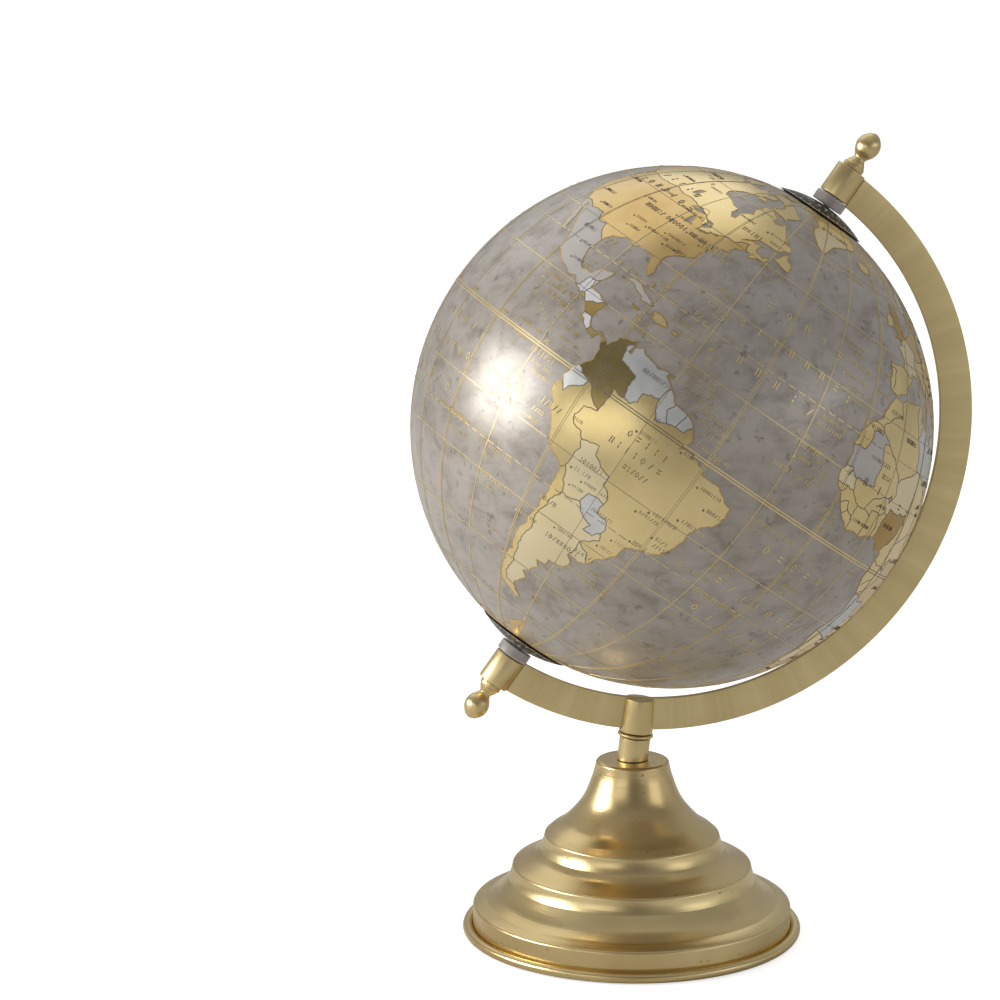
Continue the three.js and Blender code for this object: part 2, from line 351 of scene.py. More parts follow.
def catmull_rom(t, p0, p1, p2, p3):
    v0 = (p2 - p0) / 2
    v1 = (p3 - p1) / 2
    return (2 * p1 - 2 * p2 + v0 + v1) * t**3 + (-3 * p1 + 3 * p2 - 2 * v0 - v1) * t**2 + v0 * t + p1


def offset(points, distance):
    """The outline moved sideways, to the left of its direction of travel."""
    moved = []
    for i, (r, z) in enumerate(points):
        r0, z0 = points[max(i - 1, 0)]
        r1, z1 = points[min(i + 1, len(points) - 1)]
        length = math.hypot(r1 - r0, z1 - z0)
        moved.append((r - (z1 - z0) / length * distance, z + (r1 - r0) / length * distance))
    return moved


# ---- Mesh helpers ----
def mesh_from(name, bm, sharp_degrees=35):
    bmesh.ops.recalc_face_normals(bm, faces=bm.faces)
    mesh = bpy.data.meshes.new(name)
    bm.to_mesh(mesh)
    bm.free()
    mesh.shade_smooth()
    mesh.set_sharp_from_angle(angle=math.radians(sharp_degrees))
    return mesh


def lathe(name, outline, segments=128):
    """A closed mesh turned about Z. The outline starts and ends on the axis, or closes on itself."""
    bm = bmesh.new()
    turns = [math.tau * i / segments for i in range(segments)]
    rings = []
    for r, z in outline:
        spokes = turns if r > 0 else [0]
        rings.append([bm.verts.new((r * math.cos(a) * MM, r * math.sin(a) * MM, z * MM)) for a in spokes])
    pairs = list(zip(rings, rings[1:]))
    if outline[0][0] > 0:
        pairs.append((rings[-1], rings[0]))
    for low, high in pairs:
        for i in range(segments):
            j = (i + 1) % segments
            corners = (low[i % len(low)], low[j % len(low)], high[j % len(high)], high[i % len(high)])
            distinct = list(dict.fromkeys(corners))
            if len(distinct) > 2:
                bm.faces.new(distinct)
    return mesh_from(name, bm)


def linked(name, data):
    """An object in the scene that shows the data."""
    obj = bpy.data.objects.new(name, data)
    bpy.context.scene.collection.objects.link(obj)
    return obj


def piece(name, mesh, place, body, material, slot, *replaced):
    obj = linked(name, mesh)
    obj.matrix_world = place
    if material:
        mesh.materials.append(material)
    bpy.context.view_layer.update()
    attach(obj, body)
    if replaced:
        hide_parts(*replaced)
    return obj


def upright_piece(name, mesh, place, *rest):
    """As piece, but the turn goes into the mesh, so that the piece's own box is as small as it can be."""
    mesh.transform(place.to_3x3().to_4x4())
    return piece(name, mesh, Matrix.Translation(place.translation), *rest)


def cut(mesh, cutter, name):
    """mesh minus cutter, both in the same place."""
    kept = linked("kept", mesh)
    taken = linked("taken", cutter)
    modifier = kept.modifiers.new("cut", "BOOLEAN")
    modifier.object = taken
    modifier.operation = "DIFFERENCE"
    modifier.solver = "EXACT"
    made = bpy.data.meshes.new_from_object(kept.evaluated_get(bpy.context.evaluated_depsgraph_get()))
    made.name = name
    bpy.data.objects.remove(kept)
    bpy.data.objects.remove(taken)
    made.materials.clear()
    made.shade_smooth()
    made.set_sharp_from_angle(angle=math.radians(35))
    return made


def box_mesh(low, high):
    bm = bmesh.new()
    bmesh.ops.create_cube(bm, size=1)
    for v in bm.verts:
        v.co = Vector((low[k] if v.co[k] < 0 else high[k] for k in range(3))) * MM
    mesh = bpy.data.meshes.new("box")
    bm.to_mesh(mesh)
    bm.free()
    return mesh


# ---- Base ----
def base_outline():
    shoulder = 1.4
    return [
        (DRUM_RADIUS, 3),
        *arc(DRUM_RADIUS - shoulder, 10.9, shoulder, 0, 70),
        (57.4, 13.6),
        *sweep([(56.6, 13.7), (52.4, 16.9), (48, 22.2)], 14),
        *arc(46.8 - shoulder, 26.9, shoulder, 0, 65),
        *sweep([(42.5, 29.4), (38.6, 31.4), (35.8, 34)], 12),
        *arc(34.3 - shoulder, 39.2, shoulder, 0, 60),
        *sweep([(31.6, 42.2), (26.3, 46), (19.6, 54), (15.8, 63), (14.3, 68.6)], 36),
        *arc(12.9, 68.6, shoulder, 15, 90),
        (BELL_HOLE_RADIUS, BASE_HEIGHT),
    ]


def base_shell():
    outside = base_outline()
    inside = offset(outside, SPUN_THICKNESS)
    inside[0] = (DRUM_RADIUS - SPUN_THICKNESS, outside[0][1])
    inside[-1] = (BELL_HOLE_RADIUS, BASE_HEIGHT - SPUN_THICKNESS)
    return lathe("spun_base", outside + inside[::-1], 192)


def base_tray():
    bead = arc(RIM_RADIUS - RIM_BEAD_RADIUS, 2.5, RIM_BEAD_RADIUS, -143, 180, 28)
    return lathe("rolled_tray", [(0, 1.3), *bead, (0, 2.5)], 192)


piece("spun_base", base_shell(), ROW, "stand", SPUN_BRASS, "spun_brass", "base_shell")
piece("rolled_tray", base_tray(), ROW, "stand", SPUN_BRASS, "spun_brass", "base_tray")


def felt_sheet():
    edge = 0.3
    straight = 58.7
    return lathe("felt_sheet", [(0, 0), *arc(straight, edge, edge, -90, 0, 3),
                                *arc(straight, 0.7, edge, 0, 90, 3), (0, 1)])


piece("felt_sheet", felt_sheet(), ROW, "stand", FELT, "felt", "felt_pad")


# ---- Arm ----
def stem_sleeve():
    """Cut level with the bell's top, from a tube that leans."""
    below = -2
    high = 9.0
    bevel = 0.3
    tilted = lathe("sleeve", [
        (STEM_BORE, below), (STEM_RADIUS, below), *arc(STEM_RADIUS - bevel, high - bevel, bevel, 0, 90, 4),
        (STEM_BORE, high),
    ], 96)
    tilted.transform(Matrix.Rotation(STEM_LEAN, 4, "Y"))
    return cut(tilted, box_mesh((-20, -20, -20), (20, 20, GAP)), "sleeve")


def foot_boss():
    """A tapered boss with a slot across it for the arm's bar."""
    bore = STUD_RADIUS + GAP
    bevel = 0.4
    body = lathe("foot", [
        (bore, FOOT_LOW), *arc(6.5 - bevel, FOOT_LOW + bevel, bevel, -90, 0, 4),
        *arc(5.8 - bevel, FOOT_HIGH - bevel, bevel, 0, 90, 4), (bore, FOOT_HIGH),
    ], 96)
    half = ARC_THICKNESS / 2 + GAP
    return cut(body, box_mesh((-10, -half, BALL_ABOVE_BELL - ARC_OUTER - GAP), (10, half, 40)), "foot")


def stem_collar():
    low = 9.3
    high = FOOT_LOW - GAP
    edge = arc(6.2, (low + high) / 2, (high - low) / 2, -90, 90, 10)
    return lathe("collar", [(STEM_BORE, low), *edge, (STEM_BORE, high)], 96)


piece("sleeve", stem_sleeve(), BELL_TOP, "arm", TURNED_BRASS, "turned_brass", "stem_sleeve")
piece("collar", stem_collar(), LEANING, "arm", TURNED_BRASS, "turned_brass", "stem_collar")
piece("foot", foot_boss(), LEANING, "arm", TURNED_BRASS, "turned_brass", "foot_boss")


def half_ring(steps=180, bevel=0.22):
    """A flat half-circle bar in the XZ plane with eased edges."""
    bm = bmesh.new()
    clearance = BOSS_RADIUS + GAP
    half = ARC_THICKNESS / 2
    section = []
    for corner_r, corner_y, start in ((ARC_OUTER, half, 0), (ARC_INNER, half, 90), (ARC_INNER, -half, 180),
                                      (ARC_OUTER, -half, 270)):
        centre_r = corner_r - bevel if corner_r == ARC_OUTER else corner_r + bevel
        centre_y = math.copysign(half - bevel, corner_y)
        section += arc(centre_r, centre_y, bevel, start, start + 90, 3)
    rings = []
    for i in range(steps + 1):
        ring = []
        for r, y in section:
            end = math.pi / 2 - math.asin(clearance / r)
            angle = -end + 2 * end * i / steps
            ring.append(bm.verts.new((r * math.cos(angle) * MM, y * MM, r * math.sin(angle) * MM)))
        rings.append(ring)
    count = len(section)
    for low, high in zip(rings, rings[1:]):
        for k in range(count):
            bm.faces.new((low[k], low[(k + 1) % count], high[(k + 1) % count], high[k]))
    bm.faces.new(rings[0][::-1])
    bm.faces.new(rings[-1])
    return mesh_from("arm_bar", bm)


upright_piece("arm_bar", half_ring(), POLAR, "arm", BRUSHED_BRASS, "brushed_brass", "meridian_arc")


def pole_boss():
    bevel = 0.35
    return [(PIN_BORE, BOSS_LOW), *arc(BOSS_RADIUS - bevel, BOSS_LOW + bevel, bevel, -90, 0, 4),
            *arc(BOSS_RADIUS - bevel, BOSS_HIGH - bevel, bevel, 0, 90, 4), (PIN_BORE, BOSS_HIGH)]


def finial():
    low = BOSS_HIGH + GAP
    flange_radius = 4.3
    flange_high = low + 1.8
    bevel = 0.4
    return [
        (PIN_BORE, low), (flange_radius, low),
        *arc(flange_radius - bevel, flange_high - bevel, bevel, 0, 80, 5),
        (3.7, flange_high + 0.35),
        *sweep([(3.5, 123.1), (2.6, 124.4), (2.5, 125.4), (4.1, 127.9), (4.75, 130.5), (4.1, 133.2),
                (2.2, 135.5)], 48),
        *arc(0, 133.9, 2.3, 55, 90, 6)[1:-1],
        (0, 136.2), (0, 126.3), (PIN_BORE, 126.3),
    ]


def bush():
    bevel = 0.3
    return [(PIN_BORE, 103.2), *arc(6.5 - bevel, 103.2 + bevel, bevel, -90, 0, 4), (6.5, 106.3),
            *arc(5.6, 106.4, 0.9, 0, 90, 8), (PIN_BORE, 107.3)]


def dial_dome():
    """The crown's height and the radius of the dial's dome."""
    rise = DIAL_CROWN - DIAL_RIM
    return DIAL_CROWN, (DIAL_RADIUS**2 + rise**2) / (2 * rise)


def dial():
    crown, dome = dial_dome()
    rim_angle = math.degrees(math.acos(DIAL_RADIUS / dome))
    hole_angle = math.degrees(math.acos(PIN_BORE / dome))
    return [*arc(0, crown - dome, dome, rim_angle, hole_angle, 24),
            *arc(0, crown - dome, dome - DIAL_THICKNESS, hole_angle, rim_angle + 2.5, 24)]


for pole, place in POLES:
    for made, mesh, material, slot, part in (
        ("_pole_boss", lathe("boss", pole_boss(), 96), TURNED_BRASS, "turned_brass", "_boss"),
        ("_turned_finial", lathe("finial", finial(), 96), TURNED_BRASS, "turned_brass", "_finial"),
        ("_clear_bush", lathe("bush", bush(), 96), CLEAR_PLASTIC, "clear_plastic", "_bush"),
    ):
        piece(pole + made, mesh, place, "arm", material, slot, pole + part)
    piece(pole + "_dial_dome", lathe("dial", dial(), 128), place, pole + "_hour_dial", DIAL_PLASTIC,
          "dial_plastic", pole + "_dial")


# ---- Ball ----
def ball():
    inner = BALL_RADIUS - BALL_WALL
    hole = math.degrees(math.acos(POLE_HOLE_RADIUS / BALL_RADIUS))
    inner_hole = math.degrees(math.acos(POLE_HOLE_RADIUS / inner))
    outside = arc(0, 0, BALL_RADIUS, -hole, hole, 160)
    inside = arc(0, 0, inner, inner_hole, -inner_hole, 60)
    return lathe("ball_skin", outside + inside, 256)


upright_piece("ball_skin", ball(), MAP, "globe", LACQUER, "printed_ball", "north_hemisphere",
              "south_hemisphere")

# ---- Map data: places are (longitude, latitude) in degrees ----
AMERICA = [
    (-77.4, 8.6), (-76.8, 8.0), (-75.6, 9.6), (-75.4, 10.7), (-74.2, 11.3), (-72.8, 11.6), (-71.4, 12.4),
    (-71.7, 11.0), (-72.0, 9.5), (-71.1, 9.4), (-71.3, 10.9), (-70.2, 11.5), (-70.0, 12.1), (-68.4, 10.9),
    (-66.2, 10.6), (-64.8, 10.1), (-62.0, 10.7), (-62.3, 9.9), (-60.8, 9.2), (-59.8, 8.3), (-58.5, 7.3),
    (-57.2, 6.0), (-54.0, 5.9), (-51.9, 4.7), (-51.1, 3.8), (-50.0, 1.7), (-50.9, 0.2), (-51.6, -1.0),
    (-50.4, -0.1), (-48.4, -0.3), (-48.5, -1.4), (-47.4, -0.7), (-44.6, -2.0), (-44.3, -2.8), (-41.5, -2.9),
    (-39.9, -2.8), (-38.5, -3.8), (-37, -4.9), (-35.3, -5.2), (-34.8, -7.3), (-35.3, -9.3), (-37.2, -11.4),
    (-38.5, -13), (-39, -15.2), (-39.2, -17.6), (-39.8, -19.7), (-41, -22), (-43, -23), (-45.4, -23.8),
    (-48, -25.3), (-48.6, -28.2), (-50.2, -30.3), (-52.2, -32.3), (-53.7, -34.3), (-55.3, -34.9),
    (-58.2, -34.2), (-58.4, -34.8), (-57.1, -35.6), (-56.7, -36.6), (-57.7, -38.2), (-62, -39),
    (-62.3, -40.7), (-65, -40.9), (-63.6, -42.4), (-65.2, -43.7), (-65.8, -45), (-67.6, -46.2),
    (-65.8, -47.6), (-67.6, -49.5), (-69.2, -51), (-68.4, -52.4), (-68.2, -53.2), (-65.4, -54.8),
    (-67.6, -55.6), (-71.4, -54), (-74.2, -52.6), (-75.4, -50.3), (-75.4, -47.6), (-74.2, -46.2),
    (-74, -43.2), (-72.8, -42.4), (-73.6, -40.3), (-73.4, -37.4), (-71.9, -34.6), (-71.4, -31),
    (-70.8, -27.2), (-70.4, -23.6), (-70.2, -19.6), (-70.4, -18.3), (-72.6, -17.1), (-75.8, -15.2),
    (-76.3, -13.8), (-77.6, -11.2), (-79.2, -8), (-81.2, -6), (-81.2, -4.3), (-80, -3.2), (-80.9, -2.2),
    (-80.1, 0.4), (-78.9, 1.5), (-77.2, 3.9), (-77.4, 6.4), (-78.1, 7.5), (-78.5, 8.6), (-79.6, 9),
    (-80.4, 8.2), (-80.3, 7.4), (-81.5, 7.8), (-82.9, 8.2), (-83.7, 8.6), (-84.9, 9.8), (-85.8, 10.1),
    (-85.8, 11), (-87.6, 12.9), (-90, 13.8), (-92.3, 14.6), (-94.1, 16.2), (-96.6, 15.7), (-99.9, 16.8),
    (-102.2, 17.9), (-104.5, 19.1), (-105.6, 20.4), (-105.5, 22), (-107.6, 24.5), (-109.4, 26.3), (-111, 28),
    (-113, 31.2), (-114.8, 31.8), (-113.2, 29), (-111.3, 26.2), (-110.3, 24.3), (-109.5, 23.2),
    (-110.3, 23.5), (-112, 24.8), (-113.6, 26.8), (-115, 27.8), (-114.2, 28.4), (-116, 30.2), (-117.2, 32.6),
    (-118.5, 34), (-120.6, 34.6), (-121.9, 36.6), (-122.5, 37.9), (-123.9, 39.4), (-124.4, 40.4),
    (-124, 43.5), (-124, 46.4), (-124.7, 48.3), (-122.5, 47.4), (-122.9, 49.1), (-125.6, 50.6),
    (-128.2, 52.6), (-130.4, 54.6), (-133, 57.2), (-136.6, 58.4), (-139.8, 59.7), (-144.2, 60.1),
    (-148.2, 60.1), (-151.6, 59.3), (-151.2, 61.1), (-154, 59.2), (-156.6, 57), (-161.2, 55.3),
    (-164.6, 54.7), (-160.8, 56), (-157.6, 57.7), (-157.4, 58.8), (-161.8, 58.8), (-162.2, 60),
    (-165.6, 61.6), (-164.4, 63.1), (-161, 63.6), (-161.4, 64.6), (-166.4, 64.6), (-168, 65.6),
    (-163.8, 66.5), (-161.8, 66.4), (-163.8, 67.3), (-166.6, 68.4), (-162.8, 69.6), (-156.6, 71.3),
    (-149, 70.4), (-141, 69.7), (-135.6, 69.2), (-128, 70.4), (-120.4, 69.6), (-114.8, 68.3), (-108.6, 68),
    (-107.4, 66.8), (-103, 67.9), (-97.8, 67.8), (-95.6, 68.4), (-95.6, 71.6), (-92.6, 69.8), (-90.2, 69),
    (-87.8, 68), (-85.4, 69.6), (-81.8, 69.2), (-81.8, 67.4), (-86.2, 66.4), (-87.2, 64.8), (-93, 62.4),
    (-94.6, 60), (-94.6, 58.6), (-92.4, 57), (-88, 56.4), (-85, 55.2), (-82.3, 55), (-82.2, 52.8),
    (-80.4, 51.3), (-78.8, 51.6), (-79.4, 54.6), (-76.6, 56.4), (-78.4, 58.8), (-77.4, 60.2), (-78, 62.4),
    (-73.6, 62.3), (-69.8, 60.9), (-69.8, 59), (-67.6, 58.3), (-65.6, 59.2), (-64.6, 60.3), (-62.4, 58),
    (-60.4, 55.4), (-57.2, 54.2), (-55.8, 52.6), (-58.4, 51.3), (-60.4, 50.2), (-66, 50.2), (-69, 48.4),
    (-71, 46.9), (-68, 48.6), (-64.4, 49), (-65.2, 47.7), (-64.6, 46.2), (-61.8, 45.8), (-60.4, 47),
    (-60.4, 45.7), (-63.4, 44.7), (-65.8, 43.6), (-64.6, 45.3), (-67, 44.7), (-70.2, 43.6), (-70.8, 42.4),
    (-70, 41.7), (-73.8, 40.8), (-74.2, 39.5), (-75.6, 37.6), (-75.7, 35.3), (-78.4, 33.8), (-81.2, 31.6),
    (-81.2, 29.6), (-80.1, 26.6), (-80.4, 25.2), (-81.8, 26.1), (-82.8, 27.8), (-83.8, 30), (-85.4, 29.7),
    (-88, 30.4), (-89.4, 29.2), (-93.4, 29.7), (-96.4, 28.4), (-97.4, 26.4), (-97.8, 22.6), (-96.2, 19.4),
    (-94.6, 18.2), (-91.6, 18.6), (-90.4, 21), (-87, 21.5), (-87.6, 19.4), (-88.4, 18.3), (-88.7, 16),
    (-86, 15.9), (-83.2, 15), (-83.6, 12.6), (-83.7, 11), (-82.2, 9.1), (-80.6, 8.9), (-79.6, 9.6),
]
AMERICAN_BORDERS = [
    [(-77.4, 8.6), (-78.1, 7.5)],
    [(-71.7, 11.6), (-72.9, 10.2), (-72, 7.3), (-70, 6.9), (-67.5, 6.2), (-67.6, 3.6), (-66.9, 1.2)],
    [(-66.9, 1.2), (-65.4, 0.8), (-64, 2), (-64.2, 4), (-60.7, 5.2), (-60.4, 7.2), (-59.8, 8.3)],
    [(-60.7, 5.2), (-59.8, 2.6), (-58.9, 1.3), (-56.5, 1.9), (-54.6, 2.3), (-52.6, 2.2), (-51.6, 4.2)],
    [(-56.5, 1.9), (-58, 4), (-57.2, 6)], [(-54.6, 2.3), (-54.3, 4.2), (-54, 5.9)],
    [(-66.9, 1.2), (-69.8, 1.7), (-69.5, -0.6), (-69.9, -4.2), (-72.8, -2.4), (-75.2, -0.1), (-77.4, 0.4),
     (-78.9, 1.5)],
    [(-75.2, -0.1), (-75.6, -1.6), (-78.3, -3.4), (-79, -5), (-80.2, -3.4)],
    [(-69.9, -4.2), (-73.1, -5), (-73.7, -7.4), (-72.8, -9.2), (-70.6, -9.6), (-69.5, -10.9), (-68.7, -12.5),
     (-69.2, -15.4), (-69.6, -17.5), (-70.4, -18.3)],
    [(-69.5, -10.9), (-65.4, -10), (-65, -12), (-60.2, -14), (-60.2, -16.3), (-57.8, -18), (-57.8, -19.8)],
    [(-57.8, -19.8), (-61.8, -19.6), (-62.6, -22.3), (-67.2, -22.8), (-68.6, -20), (-69.6, -17.5)],
    [(-67.2, -22.8), (-68.4, -24.8), (-69.8, -29), (-70, -33), (-71, -37), (-71.8, -40), (-71.8, -44),
     (-72, -47), (-73.3, -49.6), (-72.2, -51.6), (-68.4, -52.4)],
    [(-57.8, -19.8), (-57.9, -22.1), (-55.7, -22.4), (-54.3, -24.1), (-54.6, -25.6), (-53.8, -27.2),
     (-57.6, -30.2), (-54.6, -31.5), (-53.4, -33.9)],
    [(-62.6, -22.3), (-57.7, -25.3), (-58.6, -27.3), (-55.9, -27.4), (-54.6, -25.6)],
    [(-57.6, -30.2), (-58.3, -34.2)], [(-82.9, 8.2), (-82.4, 9.3)], [(-83.7, 11), (-85.8, 11.1)],
    [(-83.2, 15), (-86, 13.8), (-87.5, 12.9)], [(-88.6, 15.9), (-89.3, 14.4), (-87.9, 13.1)],
    [(-89.3, 14.4), (-90.1, 13.8)],
    [(-92.3, 14.6), (-91.4, 16.2), (-90.9, 17.8), (-89.2, 17.8), (-88.3, 18.4)], [(-89.2, 17.8), (-89, 15.9)],
    [(-117.2, 32.6), (-114.8, 32.6), (-111, 31.3), (-108.2, 31.6), (-106.4, 31.8), (-104.4, 29.6),
     (-101.4, 29.8), (-99.4, 27.2), (-97.4, 25.9)],
    [(-122.9, 49.1), (-116, 49), (-109, 49), (-102, 49), (-95.2, 49), (-91.4, 48.2), (-88.6, 48.2),
     (-84.6, 46.5), (-82.5, 45.2), (-82.4, 42.8), (-83, 42), (-79, 42.8), (-79.2, 43.6), (-76.4, 44.2),
     (-74.8, 45), (-71.4, 45), (-70, 46.6), (-67.8, 47.1), (-67.1, 44.8)],
    [(-141, 69.7), (-141, 65), (-141, 60.2), (-137, 59), (-134, 58.6), (-130.2, 56), (-130.4, 54.6)],
]
AMERICAN_LAKES = [
    [(-92, 46.8), (-89.4, 48.2), (-86.4, 48.7), (-84.6, 47), (-87.4, 46.6)],
    [(-87.6, 41.8), (-86.2, 42.6), (-86.4, 44.6), (-84.9, 45.8), (-87.6, 45), (-87.9, 43.2)],
    [(-84.4, 46), (-81, 46), (-80.2, 44.6), (-81.8, 43.3), (-83.5, 44)],
    [(-83.2, 41.8), (-80.2, 42.8), (-79, 42.8), (-81.4, 41.8)], [(-79.6, 43.4), (-76.4, 44), (-76.6, 43.4)],
    [(-99, 50.6), (-97, 51), (-97.2, 53.8), (-99, 53)],
    [(-117, 61.2), (-113.6, 61), (-109.4, 62.6), (-113, 62.4)],
    [(-124.8, 66), (-119.6, 65.4), (-118, 66.8), (-122, 67)], [(-110.8, 59.2), (-106.6, 59), (-108, 59.8)],
    [(-103, 57.6), (-101.4, 56.6), (-102, 58.2)],
]
OLD_WORLD = [
    (-5.6, 36.2), (-8.9, 37), (-9.4, 38.7), (-8.7, 41), (-9.2, 43.1), (-3.8, 43.5), (-1.6, 43.4),
    (-1.2, 45.6), (-4.6, 48), (-1.6, 48.7), (-1.8, 49.7), (1.6, 50.8), (4.2, 52), (8.4, 53.8), (8.2, 56.8),
    (10.5, 57.7), (9.8, 54.8), (11.2, 54), (14.2, 54), (18.6, 54.6), (21.1, 55.6), (21.6, 57.5), (24.2, 57.2),
    (23.6, 58.7), (29.8, 59.9), (22.6, 60.3), (21.4, 62.4), (25.2, 65), (22.2, 65.8), (17.4, 62.2),
    (18.8, 59.8), (16.4, 56.8), (12.8, 55.6), (10.8, 59.2), (7.6, 58), (5.2, 59.4), (5, 61.8), (9.6, 63.9),
    (13, 66.4), (15.4, 68.4), (20.6, 70.2), (25.8, 71.1), (31, 70.2), (33.6, 69.4), (41.2, 67), (38.4, 66.1),
    (33.2, 66.6), (34.8, 64.5), (40.6, 64.8), (44.2, 66), (43.8, 68.4), (54, 68.4), (60.4, 69.6), (67, 68.9),
    (68.4, 72.4), (72.6, 72.8), (72.4, 69.4), (74.2, 70.6), (80.4, 72.2), (81, 73.6), (88, 75), (98, 76.2),
    (104.2, 77.7), (112, 76.4), (108, 73.6), (114, 73.6), (126.6, 73.6), (129.4, 71), (140, 72.6),
    (151, 71.4), (160, 69.7), (170.4, 69.6), (178.2, 69.4), (-175, 67.4), (-169.8, 66), (-173.4, 64.4),
    (177.4, 64.7), (179, 62.4), (170.4, 60), (163.6, 59.6), (162.2, 55.4), (159.8, 53.2), (156.7, 51),
    (155.8, 55), (157.4, 58), (164, 62.2), (155, 59.4), (142.6, 59.2), (135.4, 54.8), (140.8, 53),
    (140.4, 49.6), (137, 45.4), (131.8, 43), (129.8, 41.4), (127.6, 39.6), (129.4, 37), (129, 35.2),
    (126.4, 34.6), (126.6, 37.4), (124.8, 39.7), (121.6, 38.9), (121.6, 40.8), (117.8, 38.8), (119, 37.3),
    (122.4, 37.2), (119.4, 35), (121.8, 31.8), (121.8, 29.2), (119.6, 25.8), (116.6, 23.2), (113.6, 22.2),
    (110.4, 21), (108.2, 21.6), (105.8, 19), (108.8, 15.4), (109.2, 11.8), (106.8, 10.4), (104.8, 8.8),
    (105, 10.4), (102.4, 12.2), (100.6, 13.4), (99.4, 10.4), (100.6, 7.2), (103.4, 4.2), (104.2, 1.4),
    (101, 3), (98.4, 8), (98.6, 12.4), (97.4, 16.6), (94.3, 16), (94.2, 19.2), (91.6, 22.6), (88.4, 21.7),
    (86.6, 20.2), (82.4, 16.7), (80.2, 15.2), (79.8, 10.4), (77.6, 8.1), (76, 10.6), (74.4, 14.8),
    (72.8, 19.2), (72.6, 21.6), (70.8, 20.8), (69, 22.2), (67, 24.8), (61.6, 25.2), (57.2, 26.9),
    (54.4, 26.6), (51.2, 28), (48.8, 30.2), (50.2, 26.6), (51.6, 24.6), (54.2, 24.2), (56.4, 26.2),
    (56.8, 24.2), (59.8, 22.4), (57.8, 19), (52.2, 15.8), (45.2, 12.8), (43.4, 12.8), (42.6, 16.4),
    (39.2, 21), (36.6, 25.8), (34.9, 29.4), (34.3, 27.8), (32.5, 29.9), (33.6, 27.6), (35.6, 23.9),
    (37.2, 21), (37.4, 18.8), (39.6, 15.4), (43.1, 11.7), (44, 10.5), (51.2, 11.9), (50.6, 9.2), (48, 4.6),
    (43.4, 0.6), (40.8, -2.4), (38.8, -6.2), (40.6, -10.8), (40.6, -15.2), (36.8, -18.2), (34.8, -20.2),
    (35.4, -23.8), (32.8, -25.6), (32.6, -28.2), (30, -31.4), (27, -33.6), (20, -34.8), (18.4, -34),
    (18, -31.8), (15.2, -27), (14.4, -22.4), (11.8, -17.2), (13.6, -12.2), (13.2, -8.8), (12.2, -5.8),
    (9.2, -1.6), (9.4, 1), (9.7, 4), (8.4, 4.6), (6, 4.3), (4.4, 6.3), (1.2, 6), (-2, 4.8), (-4.6, 5.2),
    (-7.6, 4.4), (-9.4, 5.9), (-11.4, 6.9), (-13.2, 8.8), (-15, 10.9), (-16.8, 12.4), (-17.4, 14.7),
    (-16.4, 16.4), (-16.2, 19), (-17, 21), (-16, 23.8), (-14.6, 26), (-12.9, 27.8), (-9.8, 29.6),
    (-9.6, 31.2), (-8, 33.4), (-5.8, 35.6), (-2.8, 35.2), (1, 36.4), (9.8, 37.3), (11, 36.9), (10.2, 34.3),
    (13.4, 32.9), (15.4, 32.2), (19, 30.3), (20.2, 32.4), (22.4, 32.8), (25.2, 31.6), (29.2, 30.9),
    (31.2, 31.5), (34.2, 31.3), (35.9, 35.8), (36, 36.7), (32.6, 36.1), (30.6, 36.8), (27.6, 36.7),
    (26.4, 38.4), (26.4, 40.2), (28.6, 40.6), (26.2, 40.8), (22.9, 40.4), (24, 37.7), (22.8, 36.5),
    (21.2, 37.6), (19.5, 41), (16.2, 43.4), (13.6, 45.2), (12.4, 45.2), (13.6, 43.2), (16, 41.9),
    (18.4, 40.2), (16.9, 40.5), (16.6, 38.4), (15.8, 38), (15.4, 40.1), (12.4, 41.6), (10.4, 43.4),
    (8.6, 44.4), (6.4, 43.1), (3.2, 43.3), (3.1, 41.9), (-0.2, 39.4), (-0.6, 37.8), (-4.4, 36.7),
]
